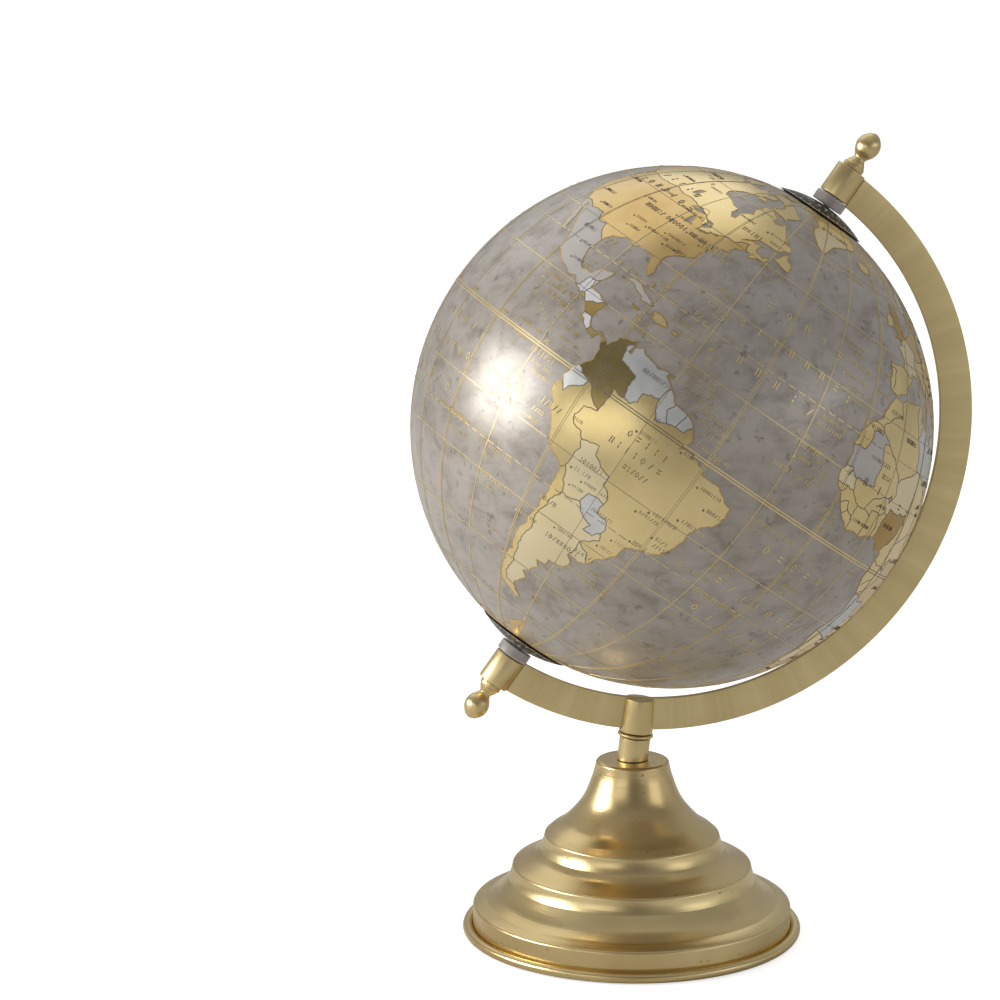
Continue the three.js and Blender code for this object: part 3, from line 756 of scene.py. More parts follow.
OLD_WORLD_BORDERS = [
    [(-2.2, 35.2), (-1.6, 32.8), (-8.7, 28.7), (-8.7, 27.4), (-4.8, 25), (1.2, 21.1), (3.2, 19.1)],
    [(-12.9, 27.7), (-8.7, 27.7)], [(-8.7, 27.4), (-8.7, 26), (-12, 26), (-12, 23.4), (-13, 21.3), (-17, 21)],
    [(-4.8, 25), (-6.6, 24.9), (-5.5, 15.5), (-11.4, 15.4), (-12.2, 14.8), (-14.4, 16.6), (-16.4, 16.2)],
    [(-12.2, 14.8), (-11.4, 12.4), (-13.7, 12.6), (-16.8, 12.4)], [(-13.7, 12.6), (-13.8, 11.7), (-15, 10.9)],
    [(-11.4, 12.4), (-8, 10.2), (-8.4, 7.6), (-7.6, 4.4)],
    [(-13.2, 9), (-11.2, 10), (-10.4, 8.4), (-11.4, 6.9)], [(-10.4, 8.4), (-8.4, 7.6)],
    [(-8, 10.2), (-5.5, 10.4), (-2.8, 9.6), (-3.1, 5)],
    [(-5.5, 10.4), (-4.2, 13.2), (0.2, 15), (2.3, 12.2), (0.9, 11), (-2.8, 11), (-2.8, 9.6)],
    [(0.4, 11), (1.2, 6)], [(2.3, 12.2), (3.6, 11.7), (2.7, 6.3)],
    [(3.2, 19.1), (4.2, 16.6), (3.5, 15.4), (0.2, 15)], [(3.6, 11.7), (4.1, 13.5), (7, 13), (13.6, 13.7)],
    [(3.2, 19.1), (11.9, 23.5), (9.4, 30.2), (7.6, 33.8), (8.6, 37)], [(9.4, 30.2), (11.5, 33.1)],
    [(11.9, 23.5), (15, 23), (13.6, 13.7), (15.2, 10), (15.2, 7.4), (18.8, 9), (22.6, 10.9)],
    [(15, 23), (24, 19.5), (25, 22), (25, 31.6)], [(25, 22), (31, 22), (36.8, 22)],
    [(24, 19.5), (22, 13), (23.5, 8.7), (27.4, 5), (18.6, 4.3), (17.8, -0.6), (15.4, -4.2), (12.3, -5.9)],
    [(13.9, 12.8), (13.2, 9.6), (8.6, 4.7)], [(9.8, 2.3), (16.2, 2.2), (14.5, 5.6), (15.2, 7.4)],
    [(18.6, 4.3), (16.2, 2.2), (14.4, -1.8), (11.2, -3.9)],
    [(12.3, -5.9), (16.8, -7.2), (21.8, -7.3), (22.2, -11.1), (24, -11), (28.4, -12.4), (29.8, -12.2),
     (28.6, -8.5), (30.8, -8.3), (29.4, -4.4), (29.6, -1.4), (31.2, 2.2), (30.8, 3.5), (27.4, 5)],
    [(30.8, 3.5), (34, 4.2), (36, 4.4), (41.9, 3.9), (41.5, -1.7)], [(34, 4.2), (34.4, 1.2), (33.9, -1)],
    [(29.6, -1.4), (33.9, -1), (37.6, -3), (39.2, -4.7)],
    [(36, 4.4), (33, 8), (36.4, 14.4), (42.4, 12.5), (43, 11), (48, 8), (45, 5), (41.9, 3.9)],
    [(37, 17.6), (36.4, 14.4)], [(42.4, 12.5), (43.1, 12.6)],
    [(30.8, -8.3), (34, -9.5), (34.6, -11.5), (40.4, -10.6)],
    [(34.6, -11.5), (32.8, -14), (30.2, -15.4), (27, -17.9), (25.2, -17.8), (23.4, -17.6), (14, -17.4),
     (11.8, -17.2)],
    [(24, -11), (22, -13), (22, -16.2), (23.4, -17.6)], [(21, -18), (20, -22), (20, -28.4), (16.4, -28.7)],
    [(20, -24.8), (25.2, -25.6), (29.4, -22.2), (25.2, -17.8)],
    [(29.4, -22.2), (31.4, -22.4), (32, -26.8), (32.8, -26.8)], [(31.4, -22.4), (32.8, -20), (30.2, -15.4)],
    [(-1.8, 43.3), (3.1, 42.4)], [(-8.8, 41.9), (-6.4, 41.8), (-7.4, 37.1)],
    [(2.6, 51), (6.2, 49.5), (8.1, 49), (7.6, 47.6), (6.2, 46.2), (7.5, 43.7)],
    [(7.6, 47.6), (13, 47.6), (17, 48.4), (12.4, 50.2), (14.7, 51), (14.4, 54)],
    [(19.6, 54.4), (23.7, 53.6), (23.8, 51), (22.6, 49.1), (18.8, 49.5), (14.7, 51)],
    [(13, 46.6), (16.4, 46.6), (19, 46), (22.4, 44.4), (22.6, 41.4), (26.2, 40.8)],
    [(22.6, 49.1), (27, 48.2), (29.8, 45.4)], [(22.6, 49.1), (20.2, 46.2), (22.4, 44.4), (28.4, 43.8)],
    [(27.8, 59.4), (27.8, 56), (31, 53), (34, 52.2), (40, 49.5), (38.2, 47.1)],
    [(10.9, 59.2), (12.2, 61.6), (14, 64.4), (18, 68.5), (23.6, 68.4), (24, 65.8)],
    [(23.6, 68.4), (29, 69.6), (31.6, 63), (28.2, 60.4)],
    [(48.6, 46.2), (47, 50), (55, 51), (61.4, 51), (62, 54), (70, 55.2), (77, 53.4), (87.4, 49.2), (98, 50.6),
     (107, 49.8), (117, 49.6), (120.6, 53.2), (126, 52.6), (131, 47.8), (134.8, 48.2), (131.2, 43)],
    [(87.4, 49.2), (90.8, 45.4), (96, 42.8), (104.6, 42), (111.8, 44.2), (119.8, 47), (117, 49.6)],
    [(87.4, 49.2), (82.4, 45.4), (80.2, 42), (73.8, 39.4), (74.8, 37), (79, 33), (81, 30.2), (88, 27.8),
     (92, 27.8), (97.4, 28.2), (98.6, 24), (101.2, 21.4), (105.4, 23.2), (108.2, 21.6)],
    [(74.8, 37), (75, 32.4), (70.4, 28), (71, 24.6), (68.2, 23.7)],
    [(61.6, 25.2), (63, 27.2), (61, 30), (66.4, 31), (71, 34), (74.8, 37), (66.6, 37.4), (61.2, 35.6),
     (61, 30)],
    [(61.2, 35.6), (57.2, 38.2), (53.9, 37.2)], [(66.6, 37.4), (56, 41.3), (56, 45), (66, 42), (80.2, 42)],
    [(36.2, 36.2), (42.4, 37.2), (44.8, 37.2), (46, 33), (48.6, 30.2)],
    [(44.8, 37.2), (44.8, 39.7), (42, 41.6)], [(42.4, 37.2), (38.8, 33.4), (35.6, 32.7), (34.9, 29.5)],
    [(38.8, 33.4), (44.8, 29.2), (48.4, 28.5)], [(42.8, 16.4), (52, 19), (53, 16.5)],
    [(52, 19), (55.2, 22.7), (54.2, 24.2)], [(88, 27.8), (88.4, 24), (89, 21.8)],
    [(92, 27.8), (91.4, 24), (92.4, 21)], [(98.6, 24), (97.8, 18.4), (99.2, 11.6)],
    [(101.2, 21.4), (101, 17.6), (105, 15.6), (102.8, 11.9)],
    [(102.2, 22.4), (104.8, 18.6), (107.4, 14.6), (104.8, 10.5)], [(126.6, 37.8), (128.4, 38.4)],
    [(124.6, 39.9), (130.4, 42.2)],
]
OLD_WORLD_LAKES = [
    [(28.2, 41.6), (28.6, 43.6), (30, 45.4), (31.8, 46.4), (33.8, 44.5), (36.2, 45.2), (38.4, 46.8),
     (38, 44.6), (41.4, 41.8), (38, 41), (35, 42), (31.4, 41.3)],
    [(47.6, 45.2), (50.6, 46.8), (52.8, 45), (51.2, 44.2), (53, 41.4), (53.8, 37), (50.4, 37.4), (49.4, 40.2),
     (47.8, 42.8)],
    [(31.8, -0.4), (34.2, 0.2), (33.4, -2.2), (31.8, -2.4)], [(58.4, 44.4), (61.2, 46.4), (59.4, 46)],
    [(105, 51.8), (109.2, 53.2), (109.8, 55.4), (107, 53)], [(30.6, 60.4), (32.8, 60.6), (31, 61.6)],
    [(29.2, -4.4), (30.4, -7.2), (31, -8.6), (30, -6.6)],
]
AUSTRALIA = [
    (114, -22), (113.5, -26), (115.7, -31.8), (115.2, -34.2), (118, -35.1), (124, -33), (129, -31.6),
    (132.6, -32), (135.4, -34.8), (137.8, -32.6), (138.6, -35.4), (140.4, -38), (143.6, -38.8), (146.4, -39),
    (150, -37.4), (153.2, -31), (153.4, -27.4), (149.6, -22.2), (146.2, -18.9), (145.2, -15), (142.6, -10.8),
    (141.6, -13.6), (140.8, -17.5), (135.6, -15), (136.8, -12.2), (132.6, -11.4), (130.6, -12.6),
    (129.2, -14.9), (126.6, -14), (122.2, -18.1), (116.4, -20.8),
]
AUSTRALIAN_BORDERS = [
    [(129.1, -14.9), (129, -31.7)], [(138, -16.6), (138, -26), (141, -26), (141, -38.2)],
    [(129, -26), (138, -26)], [(141, -29), (148, -28.8), (153.4, -28.2)],
    [(141, -34), (147, -36), (150.1, -37.5)],
]
ANTARCTICA = [
    (-58, -63.4), (-62, -68), (-61, -74), (-50, -77.6), (-36, -78.2), (-26, -75.6), (-12, -71.8), (0, -70.2),
    (12, -70), (26, -70), (34, -68.6), (46, -67.6), (56, -66.2), (66, -67.6), (74, -69.4), (88, -66.6),
    (100, -65.8), (112, -66), (124, -66.6), (134, -66.2), (146, -67.4), (158, -69.4), (170, -71.6),
    (165, -75), (163, -77.8), (180, -78.4), (-165, -78.5), (-158, -77.4), (-148, -76), (-135, -74.6),
    (-120, -74), (-103, -74.6), (-98, -72.4), (-85, -73.4), (-75, -73), (-68.6, -71), (-68, -67.4),
    (-62.6, -64.6),
]
GREENLAND = [
    (-73, 78.2), (-68.8, 76.2), (-61, 76), (-54.6, 72.2), (-51, 70), (-53.6, 67), (-51.6, 64.2),
    (-48.6, 61.2), (-44, 59.9), (-42.6, 62), (-40.6, 64.6), (-37.6, 65.8), (-31, 68.2), (-24, 69.8),
    (-22, 71), (-23, 73.4), (-19.8, 75), (-18, 79.6), (-12, 81.4), (-32, 83.5), (-54, 82.2), (-66, 80.2),
    (-66.5, 79.3),
]
ISLANDS = {
    "baffin": [(-66, 61.9), (-71, 62.8), (-77.8, 64.4), (-73.4, 65.4), (-73.6, 67.6), (-79, 69.8),
               (-89, 70.8), (-89, 73.2), (-80.6, 73.6), (-71, 71), (-61.6, 66.8), (-64, 65.2), (-67, 63.4)],
    "victoria": [(-117, 69.4), (-105, 69), (-101.8, 69.8), (-105, 72.6), (-114, 73), (-118, 71.6)],
    "banks": [(-125.6, 72), (-123, 71.2), (-117.6, 74), (-124, 74.4)],
    "ellesmere": [(-90, 76.6), (-80, 76.2), (-76, 78.8), (-68, 80.8), (-62, 82.6), (-75, 83.1), (-91, 81.8),
                  (-86, 79.6)],
    "devon": [(-96, 76.6), (-80.6, 75.6), (-81, 74.6), (-92, 74.7)],
    "axel": [(-96, 80), (-92, 78.4), (-88, 80.4), (-93, 81.2)],
    "southampton": [(-87, 63.7), (-80.6, 64), (-84, 65.8), (-86.2, 65.2)],
    "newfoundland": [(-59.2, 47.7), (-55.8, 46.9), (-53, 46.7), (-53.2, 48.6), (-55.6, 49.8), (-55.6, 51.5),
                     (-57.6, 50)],
    "cuba": [(-84.9, 21.9), (-82.6, 23), (-80, 23), (-77.2, 21.7), (-74.2, 20.3), (-77.6, 19.9),
             (-77.8, 20.7), (-81.8, 22.2)],
    "hispaniola": [(-74.4, 18.4), (-71.4, 17.7), (-68.5, 18.3), (-69.6, 19.2), (-71.6, 19.9), (-73.3, 19.8),
                   (-72.6, 18.8)],
    "jamaica": [(-78.3, 18.4), (-76.3, 18.2), (-76.4, 17.8), (-77.8, 17.8)],
    "puerto_rico": [(-67.2, 18.5), (-65.7, 18.4), (-65.9, 17.9), (-67.1, 17.9)],
    "trinidad": [(-61.9, 10.1), (-61.6, 10.8), (-60.9, 10.8), (-61, 10.1)],
    "andros": [(-78.4, 24.8), (-77.8, 24.6), (-77.6, 23.8), (-78.2, 24)],
    "falklands": [(-61, -51.9), (-58, -51.4), (-59, -52.3)],
    "vancouver": [(-128.2, 50.7), (-125, 50), (-123.4, 48.4), (-125.4, 48.9)],
    "kodiak": [(-154.6, 57.2), (-152.4, 58.2), (-153.4, 56.9)],
    "iceland": [(-24, 65.5), (-22.4, 66.4), (-16.2, 66.5), (-13.6, 65), (-18.6, 63.4), (-22.6, 63.9)],
    "britain": [(-5.6, 50.1), (1.4, 51.2), (1.6, 52.7), (0.2, 53), (-1.4, 54.8), (-1.9, 57.6), (-4, 57.7),
                (-3.1, 58.6), (-5, 58.6), (-6, 57), (-4.8, 55), (-3, 53.6), (-4.6, 53.1), (-5.2, 51.8),
                (-3, 51.4)],
    "ireland": [(-9.8, 51.6), (-6.4, 52.2), (-5.6, 54.6), (-7.4, 55.3), (-10, 54), (-9.4, 52.8)],
    "sicily": [(12.5, 38), (15.6, 38.2), (15.2, 36.8)],
    "sardinia": [(8.2, 40.9), (9.8, 41), (9.6, 39.2), (8.5, 39)],
    "corsica": [(8.6, 42.4), (9.4, 43), (9.3, 41.5)], "crete": [(23.6, 35.6), (26.2, 35.3), (24.8, 34.9)],
    "cyprus": [(32.4, 35.1), (34.4, 35.6), (33.6, 34.7)],
    "svalbard": [(11, 79.6), (20, 80.4), (22, 78.4), (16, 76.8)],
    "novaya": [(52, 71.4), (57.6, 70.8), (58, 73.4), (68, 76.6), (60, 76), (54, 73.6)],
    "severny": [(95, 79.6), (104, 79.2), (100, 78)], "siberian": [(138, 75.6), (149, 75.2), (142, 73.6)],
    "madagascar": [(49.3, -12.1), (50.4, -15.8), (47.6, -23), (46.8, -25.2), (44, -24.8), (43.6, -22),
                   (44.4, -16.4), (47.2, -15)],
    "sri_lanka": [(79.9, 9.6), (81.8, 7.4), (80.6, 6), (79.8, 7.6)],
    "hainan": [(108.8, 19.4), (110.8, 20), (109.8, 18.3)],
    "taiwan": [(120.2, 23), (121.6, 25.2), (120.9, 22)],
    "honshu": [(131, 34), (136.8, 34.4), (140, 35.2), (142, 39.6), (141.2, 41.4), (139.6, 38.6),
               (136.4, 36.4), (132.6, 35.4)],
    "kyushu": [(129.8, 33), (131.8, 33.6), (131, 31.3)],
    "shikoku": [(132.4, 33.6), (134.4, 34.3), (133.2, 32.9)],
    "hokkaido": [(140.2, 42), (143.2, 42), (145.4, 43.4), (141.8, 45.4)],
    "sakhalin": [(142, 46), (143.6, 49.2), (143, 54.2), (142, 51)],
    "luzon": [(120.4, 16.2), (120.8, 18.5), (122.2, 18.4), (121.6, 15.8), (124, 13), (120.8, 13.9)],
    "visayas": [(122, 11.8), (125.2, 12.4), (124.8, 10.2), (122.6, 9.6)],
    "mindanao": [(122, 7), (125.4, 9.7), (126.4, 7.4), (125.4, 6)],
    "borneo": [(109.2, 0.6), (110.4, 1.8), (113, 3.4), (116.8, 6.8), (119, 5.2), (117.8, 3.4), (118.8, 1),
               (116, -3.8), (114.6, -4.1), (110.4, -2.8)],
    "sumatra": [(95.3, 5.6), (98, 4.4), (100.6, 2.2), (103.6, -1), (106, -3.2), (105.8, -5.8), (102.4, -4),
                (100.4, -1.2), (98.6, 1.6)],
    "java": [(105.2, -6.8), (106.6, -6), (110.8, -6.5), (114.4, -7.7), (114.4, -8.7), (108.4, -7.8)],
    "sulawesi": [(119.4, -5.4), (119.8, 0.6), (125, 1.6), (121, 0.4), (120.4, -1), (123.2, -0.9), (121.6, -2),
                 (122.8, -4.6), (120.8, -2.8), (120.4, -5.5)],
    "lesser_sunda": [(116, -8.4), (122.8, -8.2), (119.4, -8.9)],
    "timor": [(123.6, -10.3), (127.2, -8.4), (124, -9.4)],
    "moluccas": [(127.6, 2), (128.6, 1), (127.8, -0.6)], "seram": [(128, -3), (130.8, -3.2), (129, -3.6)],
    "new_guinea": [(131, -0.9), (134, -0.8), (135, -3.2), (138, -1.8), (141, -2.6), (147.6, -6.2),
                   (150.6, -10.4), (147.2, -9.6), (144.2, -7.8), (141.4, -9.1), (138, -8.2), (135.4, -4.4),
                   (132.8, -4)],
    "new_britain": [(148.4, -5.8), (152.2, -4.2), (150.4, -6.3)],
    "solomons": [(155, -6), (160.8, -9), (158, -8)],
    "new_caledonia": [(164, -20.2), (167, -22.2), (165.6, -21.8)],
    "fiji": [(177.4, -18), (178.6, -17.6), (178, -18.2)],
    "tasmania": [(144.8, -40.8), (148.2, -40.9), (148, -43.2), (146.2, -43.5)],
    "north_new_zealand": [(172.8, -34.5), (175.4, -36.6), (178.4, -37.8), (175.2, -41.5), (173.8, -39.4),
                          (174.8, -38)],
    "south_new_zealand": [(172.8, -40.6), (174.2, -41.6), (172.8, -43.6), (170.8, -45.8), (168.6, -46.6),
                          (166.6, -46), (170.4, -43)],
}


# ---- Map geometry: everything is made as unit vectors in the map's own frame ----
LEAF_SUNK = 99.93  # millimetres from the ball's centre
LEAF_TOP = 100.09
LINE_TOP = 100.13
LETTER_TOP = 100.17
EDGING_TOP = LINE_TOP - 0.01
BORDER_WIDTH = 0.36
TRIANGLE_HEIGHT = 0.866  # of an equilateral triangle whose side is 1
PLAN_REACH = 1.9  # the equal-area plan of the whole ball is 2 in radius

FINISHES = ("gold", "dark", "amber", "pale", "silver", "white", "ochre", "bare")


def direction(lon, lat):
    lon = math.radians(lon)
    lat = math.radians(lat)
    return Vector((math.cos(lat) * math.cos(lon), math.cos(lat) * math.sin(lon), math.sin(lat)))


def east_at(place):
    return Vector((0, 0, 1)).cross(place).normalized()


def wander(start, end, dice, longest, jitter):
    """Points from start up to, not including, end, with seeded bends."""
    length = (end - start).length
    if length < longest:
        return [start]
    across = start.cross(end).normalized()
    middle = ((start + end) / 2 + across * dice.uniform(-jitter, jitter) * length).normalized()
    return wander(start, middle, dice, longest, jitter) + wander(middle, end, dice, longest, jitter)


def natural_line(places, closed, seed, longest=0.014, jitter=0.11):
    dice = random.Random(seed)
    points = [direction(*place) for place in places]
    ends = points[1:] + points[:1] if closed else points[1:]
    line = []
    for start, end in zip(points, ends):
        line += wander(start, end, dice, longest, jitter)
    if not closed:
        line.append(points[-1])
    return line


class Plan:
    """An equal-area view of the ball from straight above one place."""

    def __init__(self, middle):
        self.up = middle.normalized()
        self.east = Vector((0, 0, 1)).cross(self.up)
        if self.east.length < 0.2:
            self.east = Vector((1, 0, 0))
        self.east = (self.east - self.up * self.east.dot(self.up)).normalized()
        self.north = self.up.cross(self.east)

    def flat(self, v):
        k = math.sqrt(2 / (1 + v.dot(self.up)))
        return Vector((v.dot(self.east) * k, v.dot(self.north) * k))

    def round(self, p):
        square = p.length_squared
        return (self.east * p.x + self.north * p.y) * math.sqrt(1 - square / 4) + self.up * (1 - square / 2)


class Leaf:
    """A closed shell over a set of triangles on the ball, with a finish for each triangle."""

    def __init__(self):
        self.verts = []
        self.faces = []
        self.finishes = []
        self.kinds = []

    def add(self, points, triangles, finishes):
        """points are unit vectors; a triangle whose finish is None is left out."""
        base = len(self.verts)
        kept = [(t, f) for t, f in zip(triangles, finishes) if f is not None]
        used = sorted({i for t, _ in kept for i in t})
        number = {old: base + 2 * new for new, old in enumerate(used)}
        for i in used:
            self.verts += [points[i] * LEAF_TOP * MM, points[i] * LEAF_SUNK * MM]
        owners = {}
        for triangle, finish in kept:
            a, b, c = triangle
            if (points[b] - points[a]).cross(points[c] - points[a]).dot(points[a]) < 0:
                b, c = c, b
            a, b, c = number[a], number[b], number[c]
            self.face((a, b, c), finish, "top")
            self.face((c + 1, b + 1, a + 1), finish, "under")
            for edge in ((a, b), (b, c), (c, a)):
                owners[edge] = finish
        for (a, b), finish in owners.items():
            if (b, a) not in owners:
                self.face((a, a + 1, b + 1, b), finish, "side")

    def face(self, corners, finish, kind):
        self.faces.append(corners)
        self.finishes.append(finish)
        self.kinds.append(kind)

    def mesh(self, name):
        made = bpy.data.meshes.new(name)
        made.from_pydata(self.verts, [], self.faces)
        order = [f for f in FINISHES if f in set(self.finishes)]
        for finish in order:
            made.materials.append(LEAF[finish])
        made.polygons.foreach_set("material_index", [order.index(f) for f in self.finishes])
        made.update()
        normals = []
        for polygon, kind in zip(made.polygons, self.kinds):
            for i in polygon.vertices:
                normals.append(made.vertices[i].co.normalized() if kind == "top" else polygon.normal.copy())
        made.shade_smooth()
        made.normals_split_custom_set(normals)
        return made


def lengthened(line, extra=0.014):
    """The line carried a little past both ends, so that it cuts through a coast that it only touches."""
    first = (line[0] + (line[0] - line[1]).normalized() * extra).normalized()
    last = (line[-1] + (line[-1] - line[-2]).normalized() * extra).normalized()
    return [first, *line, last]


def landmass(leaf, coast, borders=(), lakes=(), seeds=(), finish="gold", spacing=0.05, name=""):
    """Cuts one landmass into regions along its borders. seeds are (longitude, latitude, finish)."""
    shore = natural_line(coast, True, name)
    marks = [natural_line(b, False, name + str(i), 0.011, 0.13) for i, b in enumerate(borders)]
    shores = [natural_line(lake, True, name + "lake" + str(i)) for i, lake in enumerate(lakes)]
    lines = [(shore, True), *[(lengthened(m), False) for m in marks], *[(lake, True) for lake in shores]]
    plan = Plan(sum((direction(*place) for place in coast), Vector()))
    flat = []
    edges = []
    for line, closed in lines:
        first = len(flat)
        flat += [plan.flat(v) for v in line]
        count = len(line)
        edges += [(first + i, first + i + 1) for i in range(count - 1)]
        if closed:
            edges.append((first + count - 1, first))
    outline = flat[:len(lines[0][0])]
    low = Vector((min(p.x for p in outline), min(p.y for p in outline)))
    high = Vector((max(p.x for p in outline), max(p.y for p in outline)))
    rows = int((high.y - low.y) / (spacing * TRIANGLE_HEIGHT)) + 1
    for row in range(rows):
        y = low.y + row * spacing * TRIANGLE_HEIGHT
        x = low.x + spacing / 2 * (row % 2)
        while x < high.x:
            if math.hypot(x, y) < PLAN_REACH:
                flat.append(Vector((x, y)))
            x += spacing
    made, made_edges, triangles, _, from_edges, _ = delaunay_2d_cdt(flat, edges, [], 1, 1e-7)
    walls = {frozenset(edge) for edge, origin in zip(made_edges, from_edges) if origin}
    beside = {}
    for i, t in enumerate(triangles):
        for edge in ((t[0], t[1]), (t[1], t[2]), (t[2], t[0])):
            beside.setdefault(frozenset(edge), []).append(i)
    finishes = [finish] * len(triangles)
    places = [(direction(lon, lat), kind) for lon, lat, kind in seeds]
    places += [(sum((direction(*place) for place in lake), Vector()), "water") for lake in lakes]
    for place, kind in places:
        start = triangle_at(plan.flat(place.normalized()), made, triangles)
        if start is None:
            continue
        reached = {start}
        queue = [start]
        while queue:
            t = triangles[queue.pop()]
            for edge in ((t[0], t[1]), (t[1], t[2]), (t[2], t[0])):
                if frozenset(edge) in walls:
                    continue
                for other in beside[frozenset(edge)]:
                    if other not in reached:
                        reached.add(other)
                        queue.append(other)
        for i in reached:
            finishes[i] = None if kind == "water" else kind
    leaf.add([plan.round(p) for p in made], triangles, finishes)
    return [shore, *shores], marks


def triangle_at(p, points, triangles):
    for i, (a, b, c) in enumerate(triangles):
        turns = [(points[v] - points[u]).cross(p - points[u]) for u, v in ((a, b), (b, c), (c, a))]
        if min(turns) >= 0 or max(turns) <= 0:
            return i
    return None


class Strips:
    """Closed strips of foil or ink. A path's points are (place in metres, unit normal)."""

    def __init__(self, depth=0.1):
        self.verts = []
        self.faces = []
        self.depth = depth * MM

    def lay(self, path, width, closed=False):
        """One strip; width is in millimetres."""
        count = len(path)
        base = len(self.verts)
        half = width / 2 * MM
        for i, (place, normal) in enumerate(path):
            before = path[i - 1][0] if i or closed else place
            after = path[(i + 1) % count][0] if i < count - 1 or closed else place
            side = (after - before).cross(normal).normalized() * half
            low = place - normal * self.depth
            self.verts += [place + side, place - side, low - side, low + side]
        rings = [base + 4 * i for i in range(count)]
        pairs = list(zip(rings, rings[1:]))
        if closed:
            pairs.append((rings[-1], rings[0]))
        for a, b in pairs:
            for k in range(4):
                m = (k + 1) % 4
                self.faces.append((a + k, b + k, b + m, a + m))
        if not closed:
            first = rings[0]
            last = rings[-1]
            self.faces.append((first, first + 1, first + 2, first + 3))
            self.faces.append((last + 3, last + 2, last + 1, last))

    def plate(self, rim):
        """A closed plate whose rim runs anticlockwise, seen from outside."""
        base = len(self.verts)
        count = len(rim)
        self.verts += [place for place, _ in rim] + [place - normal * self.depth for place, normal in rim]
        self.faces.append(tuple(range(base, base + count)))
        self.faces.append(tuple(range(base + 2 * count - 1, base + count - 1, -1)))
        for i in range(count):
            j = (i + 1) % count
            self.faces.append((base + j, base + i, base + count + i, base + count + j))

    def mesh(self, name):
        made = bpy.data.meshes.new(name)
        made.from_pydata(self.verts, [], self.faces)
        made.update()
        made.set_sharp_from_angle(angle=math.radians(30))
        return made


# Strokes in a box one unit high. The marks stand for lettering and spell nothing.
MARKS = (
    (((0.3, 0), (0.3, 1)),),
    (((0.1, 0), (0.5, 1)),),
    (((0.1, 0), (0.1, 1)), ((0.5, 0), (0.5, 1))),
    (((0, 0.5), (0.3, 1), (0.6, 0.5), (0.3, 0), (0, 0.5)),),
    (((0, 0.25), (0.6, 0.25)), ((0, 0.75), (0.6, 0.75))),
    (((0.3, 0), (0.3, 0.4)), ((0.3, 0.65), (0.3, 1))),
)
DIGITS = {
    "0": ((0, 0.25), (0, 0.75), (0.15, 1), (0.45, 1), (0.6, 0.75), (0.6, 0.25), (0.45, 0), (0.15, 0),
          (0, 0.25)),
    "1": ((0.1, 0.75), (0.35, 1), (0.35, 0)),
    "2": ((0, 0.8), (0.15, 1), (0.45, 1), (0.6, 0.8), (0.6, 0.6), (0, 0), (0.6, 0)),
    "3": ((0, 0.85), (0.15, 1), (0.45, 1), (0.6, 0.8), (0.3, 0.55), (0.6, 0.3), (0.45, 0), (0.15, 0),
          (0, 0.15)),
    "4": ((0.45, 0), (0.45, 1), (0, 0.3), (0.6, 0.3)),
    "5": ((0.55, 1), (0.05, 1), (0, 0.55), (0.4, 0.6), (0.6, 0.4), (0.6, 0.2), (0.4, 0), (0, 0.05)),
    "6": ((0.5, 1), (0.1, 0.7), (0, 0.2), (0.15, 0), (0.45, 0), (0.6, 0.2), (0.6, 0.4), (0.45, 0.55),
          (0.05, 0.45)),
    "7": ((0, 1), (0.6, 1), (0.2, 0)),
    "8": ((0.3, 0.55), (0.05, 0.8), (0.2, 1), (0.4, 1), (0.55, 0.8), (0.05, 0.25), (0.2, 0), (0.4, 0),
          (0.55, 0.25), (0.3, 0.55)),
    "9": ((0.1, 0), (0.5, 0.3), (0.6, 0.8), (0.45, 1), (0.15, 1), (0, 0.8), (0, 0.6), (0.15, 0.45),
          (0.55, 0.55)),
}


def on_ball(points, top):
    return [(p * top * MM, p) for p in points]


